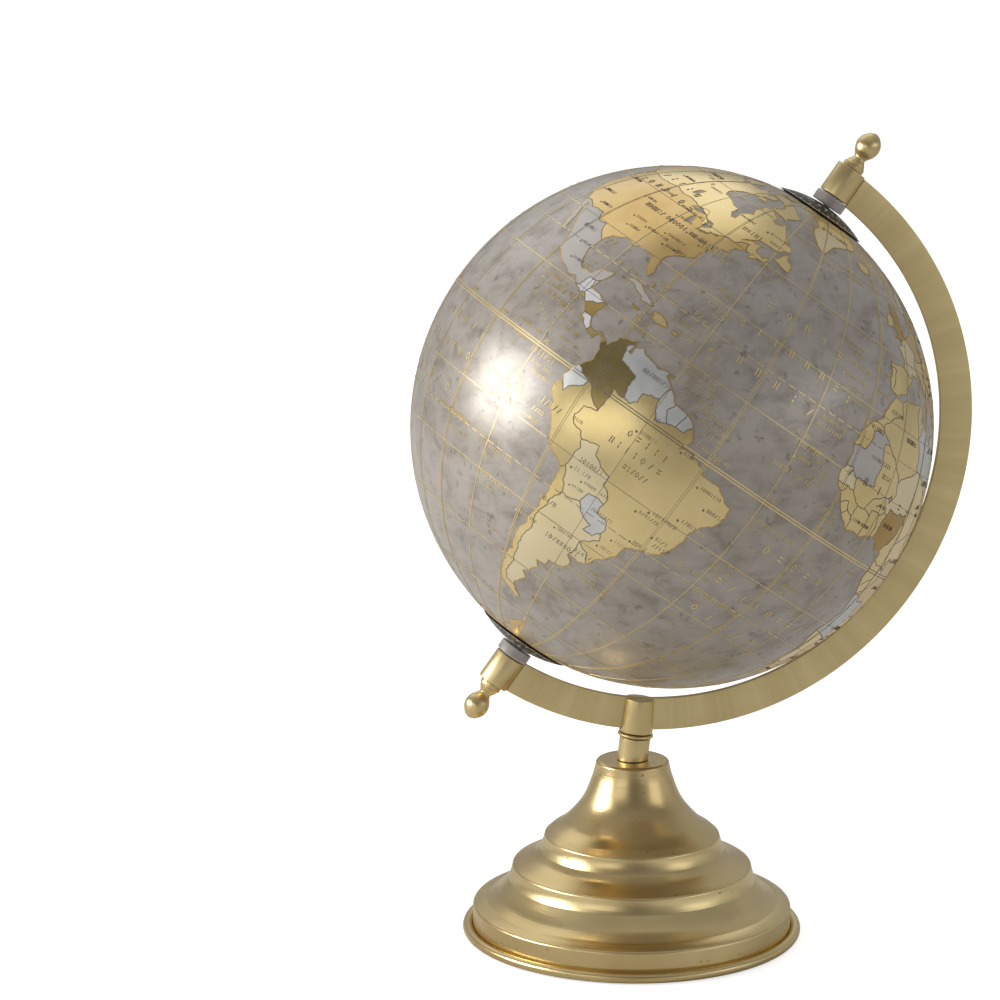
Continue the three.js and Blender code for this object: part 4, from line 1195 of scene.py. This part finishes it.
class Print:
    """Gold print over sea, which turns to dark ink over land."""

    def __init__(self, leaf):
        self.land = BVHTree.FromPolygons(leaf.verts, leaf.faces)
        self.gold = Strips()
        self.dark = Strips()

    def over_land(self, p):
        return self.land.ray_cast(Vector(), p)[0] is not None

    def ink(self, p):
        return self.dark if self.over_land(p) else self.gold

    def line(self, points, width, land_width):
        """A line over sea and land, which changes its ink at the coasts."""
        run = [points[0]]
        for start, end in zip(points, points[1:]):
            middle = ((start + end) / 2).normalized()
            kind = self.over_land(middle)
            if len(run) > 1 and kind != run_kind:
                self.run(run, run_kind, width, land_width)
                run = [start]
            run_kind = kind
            run.append(end)
        self.run(run, run_kind, width, land_width)

    def run(self, points, land, width, land_width):
        if land:
            self.dark.lay(on_ball(points, LINE_TOP), land_width)
        else:
            self.gold.lay(on_ball(points, LINE_TOP), width)

    def strokes(self, strokes, centre, along, height, width):
        """Strokes whose box starts at centre; along is the unit direction that they read in."""
        up = centre.cross(along)
        ink = self.ink(centre)
        for stroke in strokes:
            places = [(centre + (along * x + up * y) * height / BALL_RADIUS).normalized() for x, y in stroke]
            ink.lay(on_ball(places, LETTER_TOP), width)

    def spread(self, path, count, height, width, seed):
        """Large marks spread evenly along a path of (longitude, latitude)."""
        dice = random.Random(seed)
        ends = [direction(*place) for place in path]
        for i in range(count):
            t = i / (count - 1) * (len(ends) - 1)
            leg = min(int(t), len(ends) - 2)
            centre = ends[leg].lerp(ends[leg + 1], t - leg).normalized()
            along = (ends[leg + 1] - ends[leg]).normalized()
            along = (along - centre * along.dot(centre)).normalized()
            self.strokes(dice.choice(MARKS), centre, along, height, width)

    def words(self, lon, lat, lengths, height, dot=False):
        """A row of small marks eastwards from a place, with its words' lengths."""
        dice = random.Random(f"{lon} {lat}")
        pitch = height * 0.82 / BALL_RADIUS
        x = 0
        for length in lengths:
            for _ in range(length):
                centre = self.beside(lon, lat, x)
                east = east_at(centre)
                self.strokes(dice.choice(MARKS), centre, east, height, height * 0.15)
                x += pitch
            x += pitch * 0.8
        if dot:
            self.spot(self.beside(lon, lat, -pitch), height * 0.32)

    def beside(self, lon, lat, x):
        return direction(lon + math.degrees(x / math.cos(math.radians(lat))), lat)

    def spot(self, centre, radius):
        """A round spot; radius is in millimetres."""
        east = east_at(centre)
        north = centre.cross(east)
        rim = []
        for i in range(8):
            a = math.tau * i / 8
            aside = (east * math.cos(a) + north * math.sin(a)) * radius / BALL_RADIUS
            rim.append((centre + aside).normalized())
        self.ink(centre).plate(on_ball(rim, LETTER_TOP))

    def digits(self, number, lon, lat, height):
        for i, digit in enumerate(str(number)):
            centre = self.beside(lon, lat, i * height * 0.85 / BALL_RADIUS)
            east = east_at(centre)
            self.strokes((DIGITS[digit],), centre, east, height, 0.22)


LEAF = {
    "gold": gold_leaf("leaf_gold", (0.80, 0.62, 0.28), (0.91, 0.74, 0.39), 0.25),
    "amber": gold_leaf("leaf_amber", (0.64, 0.44, 0.17), (0.79, 0.59, 0.28), 0.27),
    "pale": gold_leaf("leaf_pale", (0.84, 0.71, 0.42), (0.92, 0.81, 0.55), 0.3),
    "silver": gold_leaf("leaf_silver", (0.58, 0.585, 0.57), (0.78, 0.78, 0.75), 0.4, 0.8, 0.00008),
    "white": gold_leaf("leaf_white", (0.72, 0.73, 0.73), (0.84, 0.84, 0.83), 0.5, 0.5),
    "dark": gold_leaf("leaf_dark", (0.34, 0.26, 0.10), (0.48, 0.38, 0.17), 0.25),
    "ochre": gold_leaf("leaf_ochre", (0.50, 0.32, 0.10), (0.66, 0.46, 0.17), 0.4),
    "bare": gold_leaf("leaf_bare", (0.50, 0.47, 0.44), (0.60, 0.56, 0.51), 0.5, 0.25),
}

AMERICAN_SEEDS = [
    (-66, 8, "silver"), (-59, 5, "silver"), (-56, 4, "silver"), (-53, 3.6, "silver"), (-78, -1.4, "silver"),
    (-73, 4, "dark"), (-64, -35, "pale"), (-58.4, -23, "silver"), (-64, -17, "pale"), (-102, 24, "bare"),
    (-90.4, 15.4, "ochre"), (-87, 14.8, "white"), (-85, 12.8, "ochre"), (-84, 10, "white"),
    (-100, 40, "amber"), (-88.8, 17.4, "white"),
]
OLD_WORLD_SEEDS = [
    (-10, 20, "bare"), (-2, 17, "gold"), (-6.5, 7, "gold"), (-14, 14, "pale"), (-5, 32, "gold"),
    (3, 28, "gold"), (17, 27, "silver"), (9, 17, "pale"), (8, 9, "ochre"), (30, 26, "pale"),
    (22, -3, "amber"), (38, 8, "ochre"), (18, -12, "silver"), (24, -30, "amber"), (35, -6, "bare"),
    (46, 24, "ochre"), (53, 32, "bare"), (78, 22, "ochre"), (100, 36, "amber"), (68, 48, "gold"),
    (35, 39, "ochre"), (2, 47, "pale"), (10, 51, "amber"), (16, 63, "bare"), (27, 63, "ochre"),
    (20, 52, "silver"), (102, 15, "silver"),
]
AUSTRALIAN_SEEDS = [(122, -25, "pale"), (145, -22, "amber"), (146, -32, "ochre"), (144, -36.6, "silver")]
ISLAND_FINISHES = {
    "cuba": "bare", "hispaniola": "gold", "jamaica": "ochre", "britain": "ochre", "honshu": "amber",
    "madagascar": "amber", "borneo": "ochre", "sumatra": "ochre", "new_guinea": "pale",
}


def world_map():
    """The leaf, and the lines of its shores and borders."""
    leaf = Leaf()
    shores = []
    borders = []
    lands = [
        ("america", AMERICA, AMERICAN_BORDERS, AMERICAN_LAKES, AMERICAN_SEEDS, "gold"),
        ("old_world", OLD_WORLD, OLD_WORLD_BORDERS, OLD_WORLD_LAKES, OLD_WORLD_SEEDS, "gold"),
        ("australia", AUSTRALIA, AUSTRALIAN_BORDERS, (), AUSTRALIAN_SEEDS, "gold"),
        ("antarctica", ANTARCTICA, (), (), (), "amber"),
        ("greenland", GREENLAND, (), (), (), "pale"),
    ]
    lands += [(name, coast, (), (), (), ISLAND_FINISHES.get(name, "gold")) for name, coast in ISLANDS.items()]
    for name, coast, cuts, lakes, seeds, finish in lands:
        land_shores, land_borders = landmass(leaf, coast, cuts, lakes, seeds, finish, name=name)
        shores += land_shores
        borders += land_borders
    return leaf, shores, borders


def parallel(lat, start=-180, end=180, step=1.5):
    count = round((end - start) / step)
    return [direction(start + (end - start) * i / count, lat) for i in range(count + 1)]


def meridian(lon, reach=77):
    return [direction(lon, lat) for lat in range(-reach, reach + 1)]


TROPIC = 23.44


def graticule(ink):
    for lon in range(-180, 180, 15):
        if (lon + 15) % 30:
            ink.line(meridian(lon), 0.3, 0.16)
        else:
            ink.line(meridian(lon - 0.25), 0.24, 0.12)
            ink.line(meridian(lon + 0.25), 0.24, 0.12)
        if lon:
            ink.digits(abs(lon), lon + 0.8, 0.9, 1.5)
    for lat in range(-75, 90, 15):
        if lat:
            ink.line(parallel(lat), 0.3, 0.16)
    for lat in (-TROPIC, TROPIC):
        for start in range(-180, 180, 3):
            ink.line(parallel(lat, start, start + 2, 1), 0.34, 0.2)
    for lat in (-0.3, 0.3):
        ink.line(parallel(lat), 0.5, 0.34)


# Rows of large spread marks: (places, how many, height).
ROWS = (
    (((-53, 35.5), (-30, 35.5)), 5, 3.1), (((-56, 28), (-24, 27.5)), 8, 3.1),
    (((-52, 20.8), (-32, 20.2)), 5, 3.1), (((-23, -9), (-5, -8.8)), 5, 3.1), (((-27, -20), (4, -20)), 8, 3.1),
    (((-26, -28.4), (-4, -28.8)), 5, 3.1), (((-128, -6), (-110, -6)), 5, 3.1),
    (((-129, -12), (-107, -12)), 7, 3.1), (((-131, -20), (-110, -20)), 5, 3.1),
    (((-62, -4.8), (-53, -5)), 5, 2.5), (((-64.5, -8), (-52.5, -8)), 7, 2.5),
    (((-117, 50), (-97, 50)), 5, 2.8), (((-118, 45), (-92, 45)), 7, 2.8),
    (((-103, 15.5), (-100, 8), (-91, 4)), 14, 1.7), (((-66, 24.5), (-60, 22.5), (-56, 15)), 10, 2.0),
    (((-15, 14.5), (13, 13.5)), 6, 3.0), (((50, -20), (90, -20)), 6, 3.1), (((55, -27), (85, -27)), 5, 3.1),
    (((130, 15), (160, 15)), 5, 3.1), (((135, 8), (170, 8)), 7, 3.1), (((165, 38), (195, 38)), 5, 3.1),
    (((60, 60), (120, 60)), 6, 3.0), (((70, 45), (105, 45)), 4, 3.0), (((120, -27), (148, -27)), 9, 2.4),
    (((40, 25), (50, 22)), 5, 1.6), (((170, -35), (200, -35)), 5, 3.1), (((172, -42), (204, -42)), 7, 3.1),
)

# Small rows on land and beside the coasts: (longitude, latitude, words' lengths, height, dot or not).
LABELS = (
    (-101, 39.5, (6, 6, 2, 7), 2.2, 0), (-118, 37, (7,), 1.3, 1), (-104, 41.5, (6,), 1.2, 1),
    (-98, 35.5, (6,), 1.2, 1), (-111, 33.5, (7,), 1.2, 1), (-96.5, 32.6, (6,), 1.2, 1),
    (-86.5, 36.2, (9,), 1.2, 1), (-84, 33.5, (7,), 1.4, 1), (-92, 34.7, (6, 4), 1.2, 1),
    (-90, 42, (7,), 1.2, 1), (-80.5, 34, (8,), 1.3, 1), (-82.7, 39.6, (8,), 1.2, 1),
    (-77, 38.5, (10, 2), 1.3, 1), (-74, 40.5, (3, 4), 1.2, 1), (-94, 45, (9,), 1.2, 1),
    (-105, 46, (6,), 1.2, 1), (-121, 44, (8,), 1.2, 1), (-74, 50, (6,), 2.2, 0), (-79, 53.5, (7,), 1.2, 0),
    (-66, 54, (8,), 1.4, 1), (-64, 51.5, (7,), 1.2, 0), (-113, 54, (7,), 1.2, 1), (-100, 56, (6,), 1.3, 0),
    (-120, 61, (6,), 2.2, 0), (-62, 44, (7, 4), 1.2, 0), (-59, 42, (6,), 1.2, 0), (-106, 26.5, (6,), 1.6, 0),
    (-101, 23, (7,), 1.2, 1), (-99, 19, (6, 4), 1.2, 1), (-96, 27, (4,), 1.2, 0),
    (-90, 24, (4, 2, 6), 1.2, 0), (-77.5, 25.5, (7,), 1.2, 0), (-74, 23.5, (6,), 1.2, 0),
    (-69, 20.8, (9,), 1.5, 0), (-66, 18.8, (8,), 1.3, 0), (-76, 16, (7,), 1.3, 0), (-75, 14, (9, 3), 1.5, 0),
    (-101, 13, (9,), 1.7, 0), (-98.6, 11.3, (9,), 1.3, 0), (-96, 12, (3, 8), 1.3, 0),
    (-97.5, 9.6, (2, 8), 1.7, 0), (-92.6, 9, (5, 4), 1.7, 0), (-90, 7.4, (3, 4), 1.3, 0),
    (-88, 5.6, (6,), 1.7, 0), (-87, 3.6, (6, 4), 1.2, 0), (-85, 2, (5, 5), 1.2, 0),
    (-61, 14.5, (8, 5), 1.2, 0), (-60, 13.2, (7, 6), 1.2, 0), (-59, 12, (6, 7), 1.2, 0),
    (-58.4, 10.8, (8, 3), 1.2, 0), (-57, 9.4, (7, 6), 1.2, 0), (-52.5, 8, (10,), 1.5, 0),
    (-51, 6.2, (10,), 1.5, 0), (-49.5, 4.4, (7,), 1.5, 0), (-67, 7.8, (9,), 1.7, 0), (-74, 4, (8,), 1.8, 0),
    (-74, 2.4, (6,), 1.3, 1), (-49, 1.6, (6, 6), 1.4, 0), (-91, -2, (7,), 2.2, 0), (-89, -3.9, (9,), 1.4, 0),
    (-99, 1.8, (9, 3), 1.3, 0), (-98, -1.2, (7,), 1.3, 0), (-88, -5.6, (5, 6), 1.3, 0),
    (-82, -9.6, (5,), 2.4, 0), (-83, -12, (4,), 1.8, 0), (-84, -14, (6,), 1.4, 0),
    (-73.5, -8.5, (4,), 1.3, 0), (-60, -3, (6,), 1.5, 1), (-59, -11, (6,), 2.2, 0),
    (-48, -15.6, (8,), 1.6, 1), (-50.5, -17, (7,), 1.5, 1), (-47.5, -23.3, (3, 5), 1.5, 1),
    (-51, -25.6, (8,), 1.3, 1), (-53, -28.6, (5, 5), 1.3, 1), (-44, -19.8, (4,), 1.6, 1),
    (-43.6, -21.4, (4,), 1.6, 0), (-42, -13.4, (8,), 1.6, 1), (-39, -8.6, (6,), 1.5, 1),
    (-43, -5.4, (8,), 1.4, 1), (-50, -1.4, (5,), 1.4, 1), (-67.5, -15, (7,), 1.8, 0),
    (-67.5, -17.2, (2, 3), 1.5, 1), (-64, -18.6, (5, 4), 1.3, 1), (-66, -20.6, (5,), 1.2, 1),
    (-59.5, -22.5, (8,), 1.4, 0), (-66, -34, (9,), 2.0, 0), (-64, -31, (7,), 1.2, 1),
    (-57.6, -33, (7,), 1.8, 0), (-54.5, -35.5, (10,), 1.3, 0), (-57, -37.5, (6, 5), 1.3, 0),
    (-52, -38.6, (3, 2, 5), 1.3, 0), (-71.4, -27, (5,), 1.8, 0), (-75, -33, (8,), 1.3, 1),
    (-63, -42, (6, 6), 1.2, 0), (-58, -47, (8, 2), 1.2, 0), (-112, -23.4, (6, 2, 9), 1.5, 0),
    (-103, -26.6, (6, 2), 1.3, 0), (-92, -24.8, (3, 5, 4), 1.5, 0), (-90.5, -26.6, (5,), 1.3, 0),
    (-89, -31, (3, 8), 1.5, 0), (-87.5, -33, (5,), 1.3, 0), (-84, -42, (6,), 1.3, 0),
    (-37, -21.4, (3, 2, 7), 1.4, 0), (-31, -4.4, (8, 2, 7), 1.5, 0), (-29.6, -6.2, (8,), 1.3, 0),
    (-30, -17.5, (8,), 1.4, 0), (-29, -19.2, (8,), 1.2, 0), (-27.8, -15.6, (6, 3), 1.3, 0),
    (-29, -24.4, (6, 2, 9), 1.5, 0), (-13, -12.6, (9,), 1.3, 0), (-12, -14.2, (4,), 1.2, 0),
    (-5, -16.6, (2, 6), 1.3, 0), (2, -3, (3, 4), 1.2, 0), (-66, 32.4, (7, 2), 1.4, 0),
    (-65, 30.8, (5,), 1.3, 0), (-65, 28, (8,), 1.6, 0), (-62.6, 26.3, (4,), 1.6, 0),
    (-29, 40.5, (6, 3), 1.3, 0), (-27.5, 39, (8,), 1.2, 0), (-26, 36.2, (3, 6), 1.4, 1),
    (-26, 33.2, (5, 5), 1.4, 1), (-25, 31, (7, 2), 1.3, 0), (-22.4, 28.4, (6, 3), 1.4, 0),
    (-15.6, 26.2, (2, 5), 1.6, 0), (-16, 38.6, (8,), 1.3, 0), (-14, 34, (6,), 1.4, 0),
    (-28, 21.6, (10,), 1.5, 0), (-29, 19.8, (10,), 1.6, 0), (-32, 15.8, (4,), 1.9, 0),
    (-31.4, 13.8, (5, 2), 1.9, 0), (-27, 14.6, (7,), 1.6, 0), (-29, 11.4, (5,), 1.5, 1),
    (-24.6, 12.8, (5,), 1.5, 0), (-24.4, 11, (6,), 1.5, 0), (-24.2, 9.2, (6,), 1.5, 0),
    (-33.4, 7.6, (6, 6), 1.9, 0), (-18, 5.2, (8,), 1.4, 0), (-16.6, 3.4, (8,), 1.2, 0),
    (-16, 1.6, (5,), 1.2, 0), (-10, 20.4, (10,), 1.6, 0), (-4, 18, (4,), 1.8, 0), (-7, 31.8, (7,), 1.5, 0),
    (2, 28, (7,), 1.8, 0), (-1, 12.4, (6,), 1.3, 1), (-7.4, 7, (5, 5), 1.3, 1), (4, 9.4, (7,), 1.6, 0),
    (-52, 70, (9,), 2.0, 0), (-45, 57, (5, 3), 1.2, 0), (-35, 58, (7, 4), 1.2, 0),
)


def far_labels(ink):
    """Small rows over the side away from the Atlantic, one or two lines each."""
    dice = random.Random("far side")
    for lat in range(-50, 68, 6):
        step = 9 / math.cos(math.radians(lat))
        lon = 20.0
        while lon < 218:
            place = (round(lon + dice.uniform(-2, 2), 1), round(lat + dice.uniform(-1.5, 1.5), 1))
            on_land = ink.over_land(direction(*place))
            if dice.random() < (0.85 if on_land else 0.3):
                height = dice.choice((1.2, 1.3, 1.5, 1.8))
                ink.words(*place, (dice.randint(4, 8),), height, on_land)
                if dice.random() < 0.35:
                    ink.words(place[0] + 0.8, place[1] - 1.7, (dice.randint(3, 6),), 1.2)
            lon += step


def compass_rose(ink, lon, lat):
    """An eight-pointed star in two rings."""
    centre = direction(lon, lat)
    east = east_at(centre)
    north = centre.cross(east)

    def around(radius, turns):
        angle = turns * math.tau
        aside = (east * math.cos(angle) + north * math.sin(angle)) * radius / BALL_RADIUS
        return (centre + aside).normalized()

    for radius, width in ((5.6, 0.35), (6.4, 0.2)):
        ink.gold.lay(on_ball([around(radius, i / 48) for i in range(48)], LINE_TOP), width, closed=True)
    for i in range(8):
        reach = (5.4, 9.5)[i % 2 == 0]
        corners = (around(0.3, i / 8), around(1.9, (i - 0.5) / 8), around(reach, i / 8))
        ink.gold.plate(on_ball(corners, LETTER_TOP))
        outline = (around(1.9, (i + 0.5) / 8), around(reach, i / 8))
        ink.gold.lay(on_ball(outline, LETTER_TOP), 0.22)


def ball_piece(name, mesh, material):
    upright_piece(name, mesh, MAP, "globe", material, "printed_ball")


leaf, coasts, borders = world_map()
ball_piece("land_leaf", leaf.mesh("land_leaf"), None)

border_ink = Strips()
for line in borders:
    border_ink.lay(on_ball(line, LINE_TOP), BORDER_WIDTH)
ball_piece("border_ink", border_ink.mesh("border_ink"), DARK_INK)
edging = Strips()
for line in coasts:
    edging.lay(on_ball(line, EDGING_TOP), BORDER_WIDTH, closed=True)
ball_piece("coast_edging", edging.mesh("coast_edging"), LEAF["ochre"])

printed = Print(leaf)
graticule(printed)
for places, count, height in ROWS:
    printed.spread(places, count, height, height * 0.16, f"row {places}")
for label in LABELS:
    printed.words(*label)
far_labels(printed)
compass_rose(printed, -90.5, -12)
ball_piece("gold_print", printed.gold.mesh("gold_print"), GOLD_PRINT)
ball_piece("land_print", printed.dark.mesh("land_print"), DARK_INK)


# ---- Marks on the dials and the arm ----
def dial_marks():
    """Hour ticks and two rounds of twelve hours, just above the dome."""
    strips = Strips(0.05)
    crown, dome = dial_dome()

    def at(radius, degrees, aside=0.0):
        angle = math.radians(degrees) + aside / radius
        height = crown - dome + math.sqrt(dome**2 - radius**2)
        place = Vector((radius * math.cos(angle), radius * math.sin(angle), height))
        normal = (place - Vector((0, 0, crown - dome))).normalized()
        return (place + normal * 0.02) * MM, normal

    for radius in (9.6, 17.6):
        strips.lay([at(radius, i * 5) for i in range(72)], 0.22, closed=True)
    for i in range(48):
        inner = 15.8 if i % 2 else 13.6
        strips.lay([at(inner, i * 7.5), at(17.6, i * 7.5)], 0.28)
    for hour in range(24):
        for k, digit in enumerate(str(hour % 12 + 1)):
            stroke = [at(10.5 + y * 2.1, hour * -15, 0.8 + k * -1.6 - x * 1.9) for x, y in DIGITS[digit]]
            strips.lay(stroke, 0.26)
    return strips.mesh("dial_marks")


def arm_scale():
    """A degree scale on the flat of the arm, from the equator to eighty at each end."""
    strips = Strips(0.04)
    face = ARC_THICKNESS / 2 + 0.01

    def at(radius, degrees, aside=0.0):
        angle = math.radians(degrees) + aside / radius
        return Vector((radius * math.cos(angle), face, radius * math.sin(angle))) * MM, Vector((0, 1, 0))

    for degree in range(-84, 85):
        length = 2.9 if degree % 5 else 5.2
        if degree % 10 == 0:
            length = ARC_OUTER - ARC_INNER - 0.8
            for k, digit in enumerate(f"{abs(degree):02d}"):
                start = -2.9 if k == 0 else 0.9
                stroke = [at(114.6 + y * 3.4, degree, start + x * 3.4) for x, y in DIGITS[digit]]
                strips.lay(stroke, 0.4)
        strips.lay([at(ARC_INNER + 0.4, degree), at(ARC_INNER + 0.4 + length, degree)], 0.3)
    return strips.mesh("arm_scale")


upright_piece("arm_scale", arm_scale(), POLAR, "arm", ENGRAVED_BRASS, "brushed_brass")
for pole, place in POLES:
    piece(pole + "_dial_marks", dial_marks(), place, pole + "_hour_dial", DIAL_PRINT, "dial_plastic")

# ---- CAD nodes that stay ----
KEPT_NODES = {
    "base_weight": CAST_IRON, "stud_washer": STEEL, "stud_nut": STEEL, "centre_stud": STEEL,
    "north_pin": STEEL, "south_pin": STEEL, "north_pole_socket": CARDBOARD, "south_pole_socket": CARDBOARD,
    "equator_ring": CARDBOARD,
}
for node, material in KEPT_NODES.items():
    mesh = frame["nodes"][node].data
    mesh.materials.clear()
    mesh.materials.append(material)


# ---- Floor, light and camera ----
FLOOR_RADIUS = 14
PAPER = (0.8, 0.79, 0.77, 1)
CAMERA_WHITE = (0.9, 0.9, 0.9, 1)
CAMERA_GLOW = 0.7
LIGHTS_FACE = Vector((0, 0, 0.2))
# Rectangular lights: name, place, width, height, power.
SOFTBOXES = (
    ("left_box", (-1.21, 0.06, 0.52), 0.7, 0.5, 9.4),
    ("front_left_box", (-1.3, -1.35, 0.68), 1.1, 0.45, 1.3),
    ("front_right_box", (1.32, -1.05, 0.64), 1.0, 0.5, 1.3),
    ("top_box", (-0.1, 1.0, 1.5), 1.9, 1.6, 5.6),
)
# Brightness of the surroundings: stops are (share from straight down to straight up, value).
ROOM = ((0.4, 0.66), (0.56, 0.66), (0.65, 0.38), (0.75, 0.22), (0.88, 0.3), (1.0, 0.52))
BACKDROP = ((0.5, 0.34), (0.8, 0.42), (1.0, 0.42))
# The way to the dark figure standing by the camera, and its shade: stops are (closeness to that way, value).
FIGURE_WAY = Vector((-0.12, -0.97, 0.22)).normalized()
FIGURE_SHADE = ((0.55, 1.0), (0.8, 0.7), (0.97, 0.42))


def floor():
    bm = bmesh.new()
    bmesh.ops.create_circle(bm, cap_ends=True, segments=96, radius=FLOOR_RADIUS)
    obj = linked("floor", mesh_from("floor", bm))
    material = bpy.data.materials.new("floor_white")
    material.use_nodes = True
    wiring = Wiring(material.node_tree)
    wiring.tree.nodes.remove(wiring.tree.nodes["Principled BSDF"])
    paper = wiring.node("BsdfDiffuse", {"Color": PAPER})
    white = wiring.node("BsdfDiffuse", {"Color": CAMERA_WHITE})
    glow = wiring.node("Emission", {"Strength": CAMERA_GLOW})
    lit = wiring.node("AddShader", {0: white.outputs["BSDF"], 1: glow.outputs["Emission"]})
    wiring.show("Material Output", lit.outputs["Shader"], paper.outputs["BSDF"])
    obj.data.materials.append(material)


def softbox(name, position, width, height, power):
    data = bpy.data.lights.new(name, "AREA")
    data.shape = "RECTANGLE"
    data.size = width
    data.size_y = height
    data.energy = power
    obj = linked(name, data)
    obj.location = position
    obj.rotation_euler = (LIGHTS_FACE - Vector(position)).to_track_quat("-Z", "Y").to_euler()


def world():
    """Soft studio surroundings: a room that is bright low down and dim above, and a paler backdrop."""
    made = bpy.data.worlds.new("studio")
    bpy.context.scene.world = made
    made.use_nodes = True
    wiring = Wiring(made.node_tree)
    way = wiring.node("TexCoord").outputs["Generated"]
    parts = wiring.node("SeparateXYZ", {"Vector": way}).outputs
    height = wiring.share(parts["Z"], -1, 1)
    blend = wiring.node("MixRGB", {
        "Fac": wiring.share(parts["Y"], -0.3, 0.4), "Color1": wiring.greys(height, ROOM),
        "Color2": wiring.greys(height, BACKDROP),
    })
    closeness = wiring.node("VectorMath", {0: way, 1: FIGURE_WAY}, operation="DOT_PRODUCT").outputs["Value"]
    shade = wiring.greys(wiring.share(closeness, 0.8, 1), FIGURE_SHADE)
    shaded = wiring.node("MixRGB", {"Fac": 1, "Color1": blend.outputs["Color"], "Color2": shade},
                         blend_type="MULTIPLY")
    lighting = wiring.tree.nodes["Background"]
    wiring.plug(lighting, {"Color": shaded.outputs["Color"]})
    seen = wiring.node("Background", {"Color": (1, 1, 1, 1)})
    wiring.show("World Output", seen.outputs["Background"], lighting.outputs["Background"])


def camera():
    distance = 1.6
    pitch = math.radians(12.71)
    yaw = math.radians(11.13)
    forward = Vector((math.sin(yaw) * math.cos(pitch), math.cos(yaw) * math.cos(pitch), -math.sin(pitch)))
    right = Vector((math.cos(yaw), -math.sin(yaw), 0))
    target = right * -51.6 * MM + Vector((0, 0, 173.3 * MM))
    data = bpy.data.cameras.new("camera")
    data.lens = 150.05
    data.sensor_width = 36
    data.clip_start = 0.05
    data.clip_end = 50
    obj = linked("camera", data)
    obj.location = target - forward * distance
    obj.rotation_euler = forward.to_track_quat("-Z", "Y").to_euler()
    bpy.context.scene.camera = obj


floor()
world()
for box in SOFTBOXES:
    softbox(*box)
camera()
bpy.context.scene.view_settings.view_transform = "Standard"
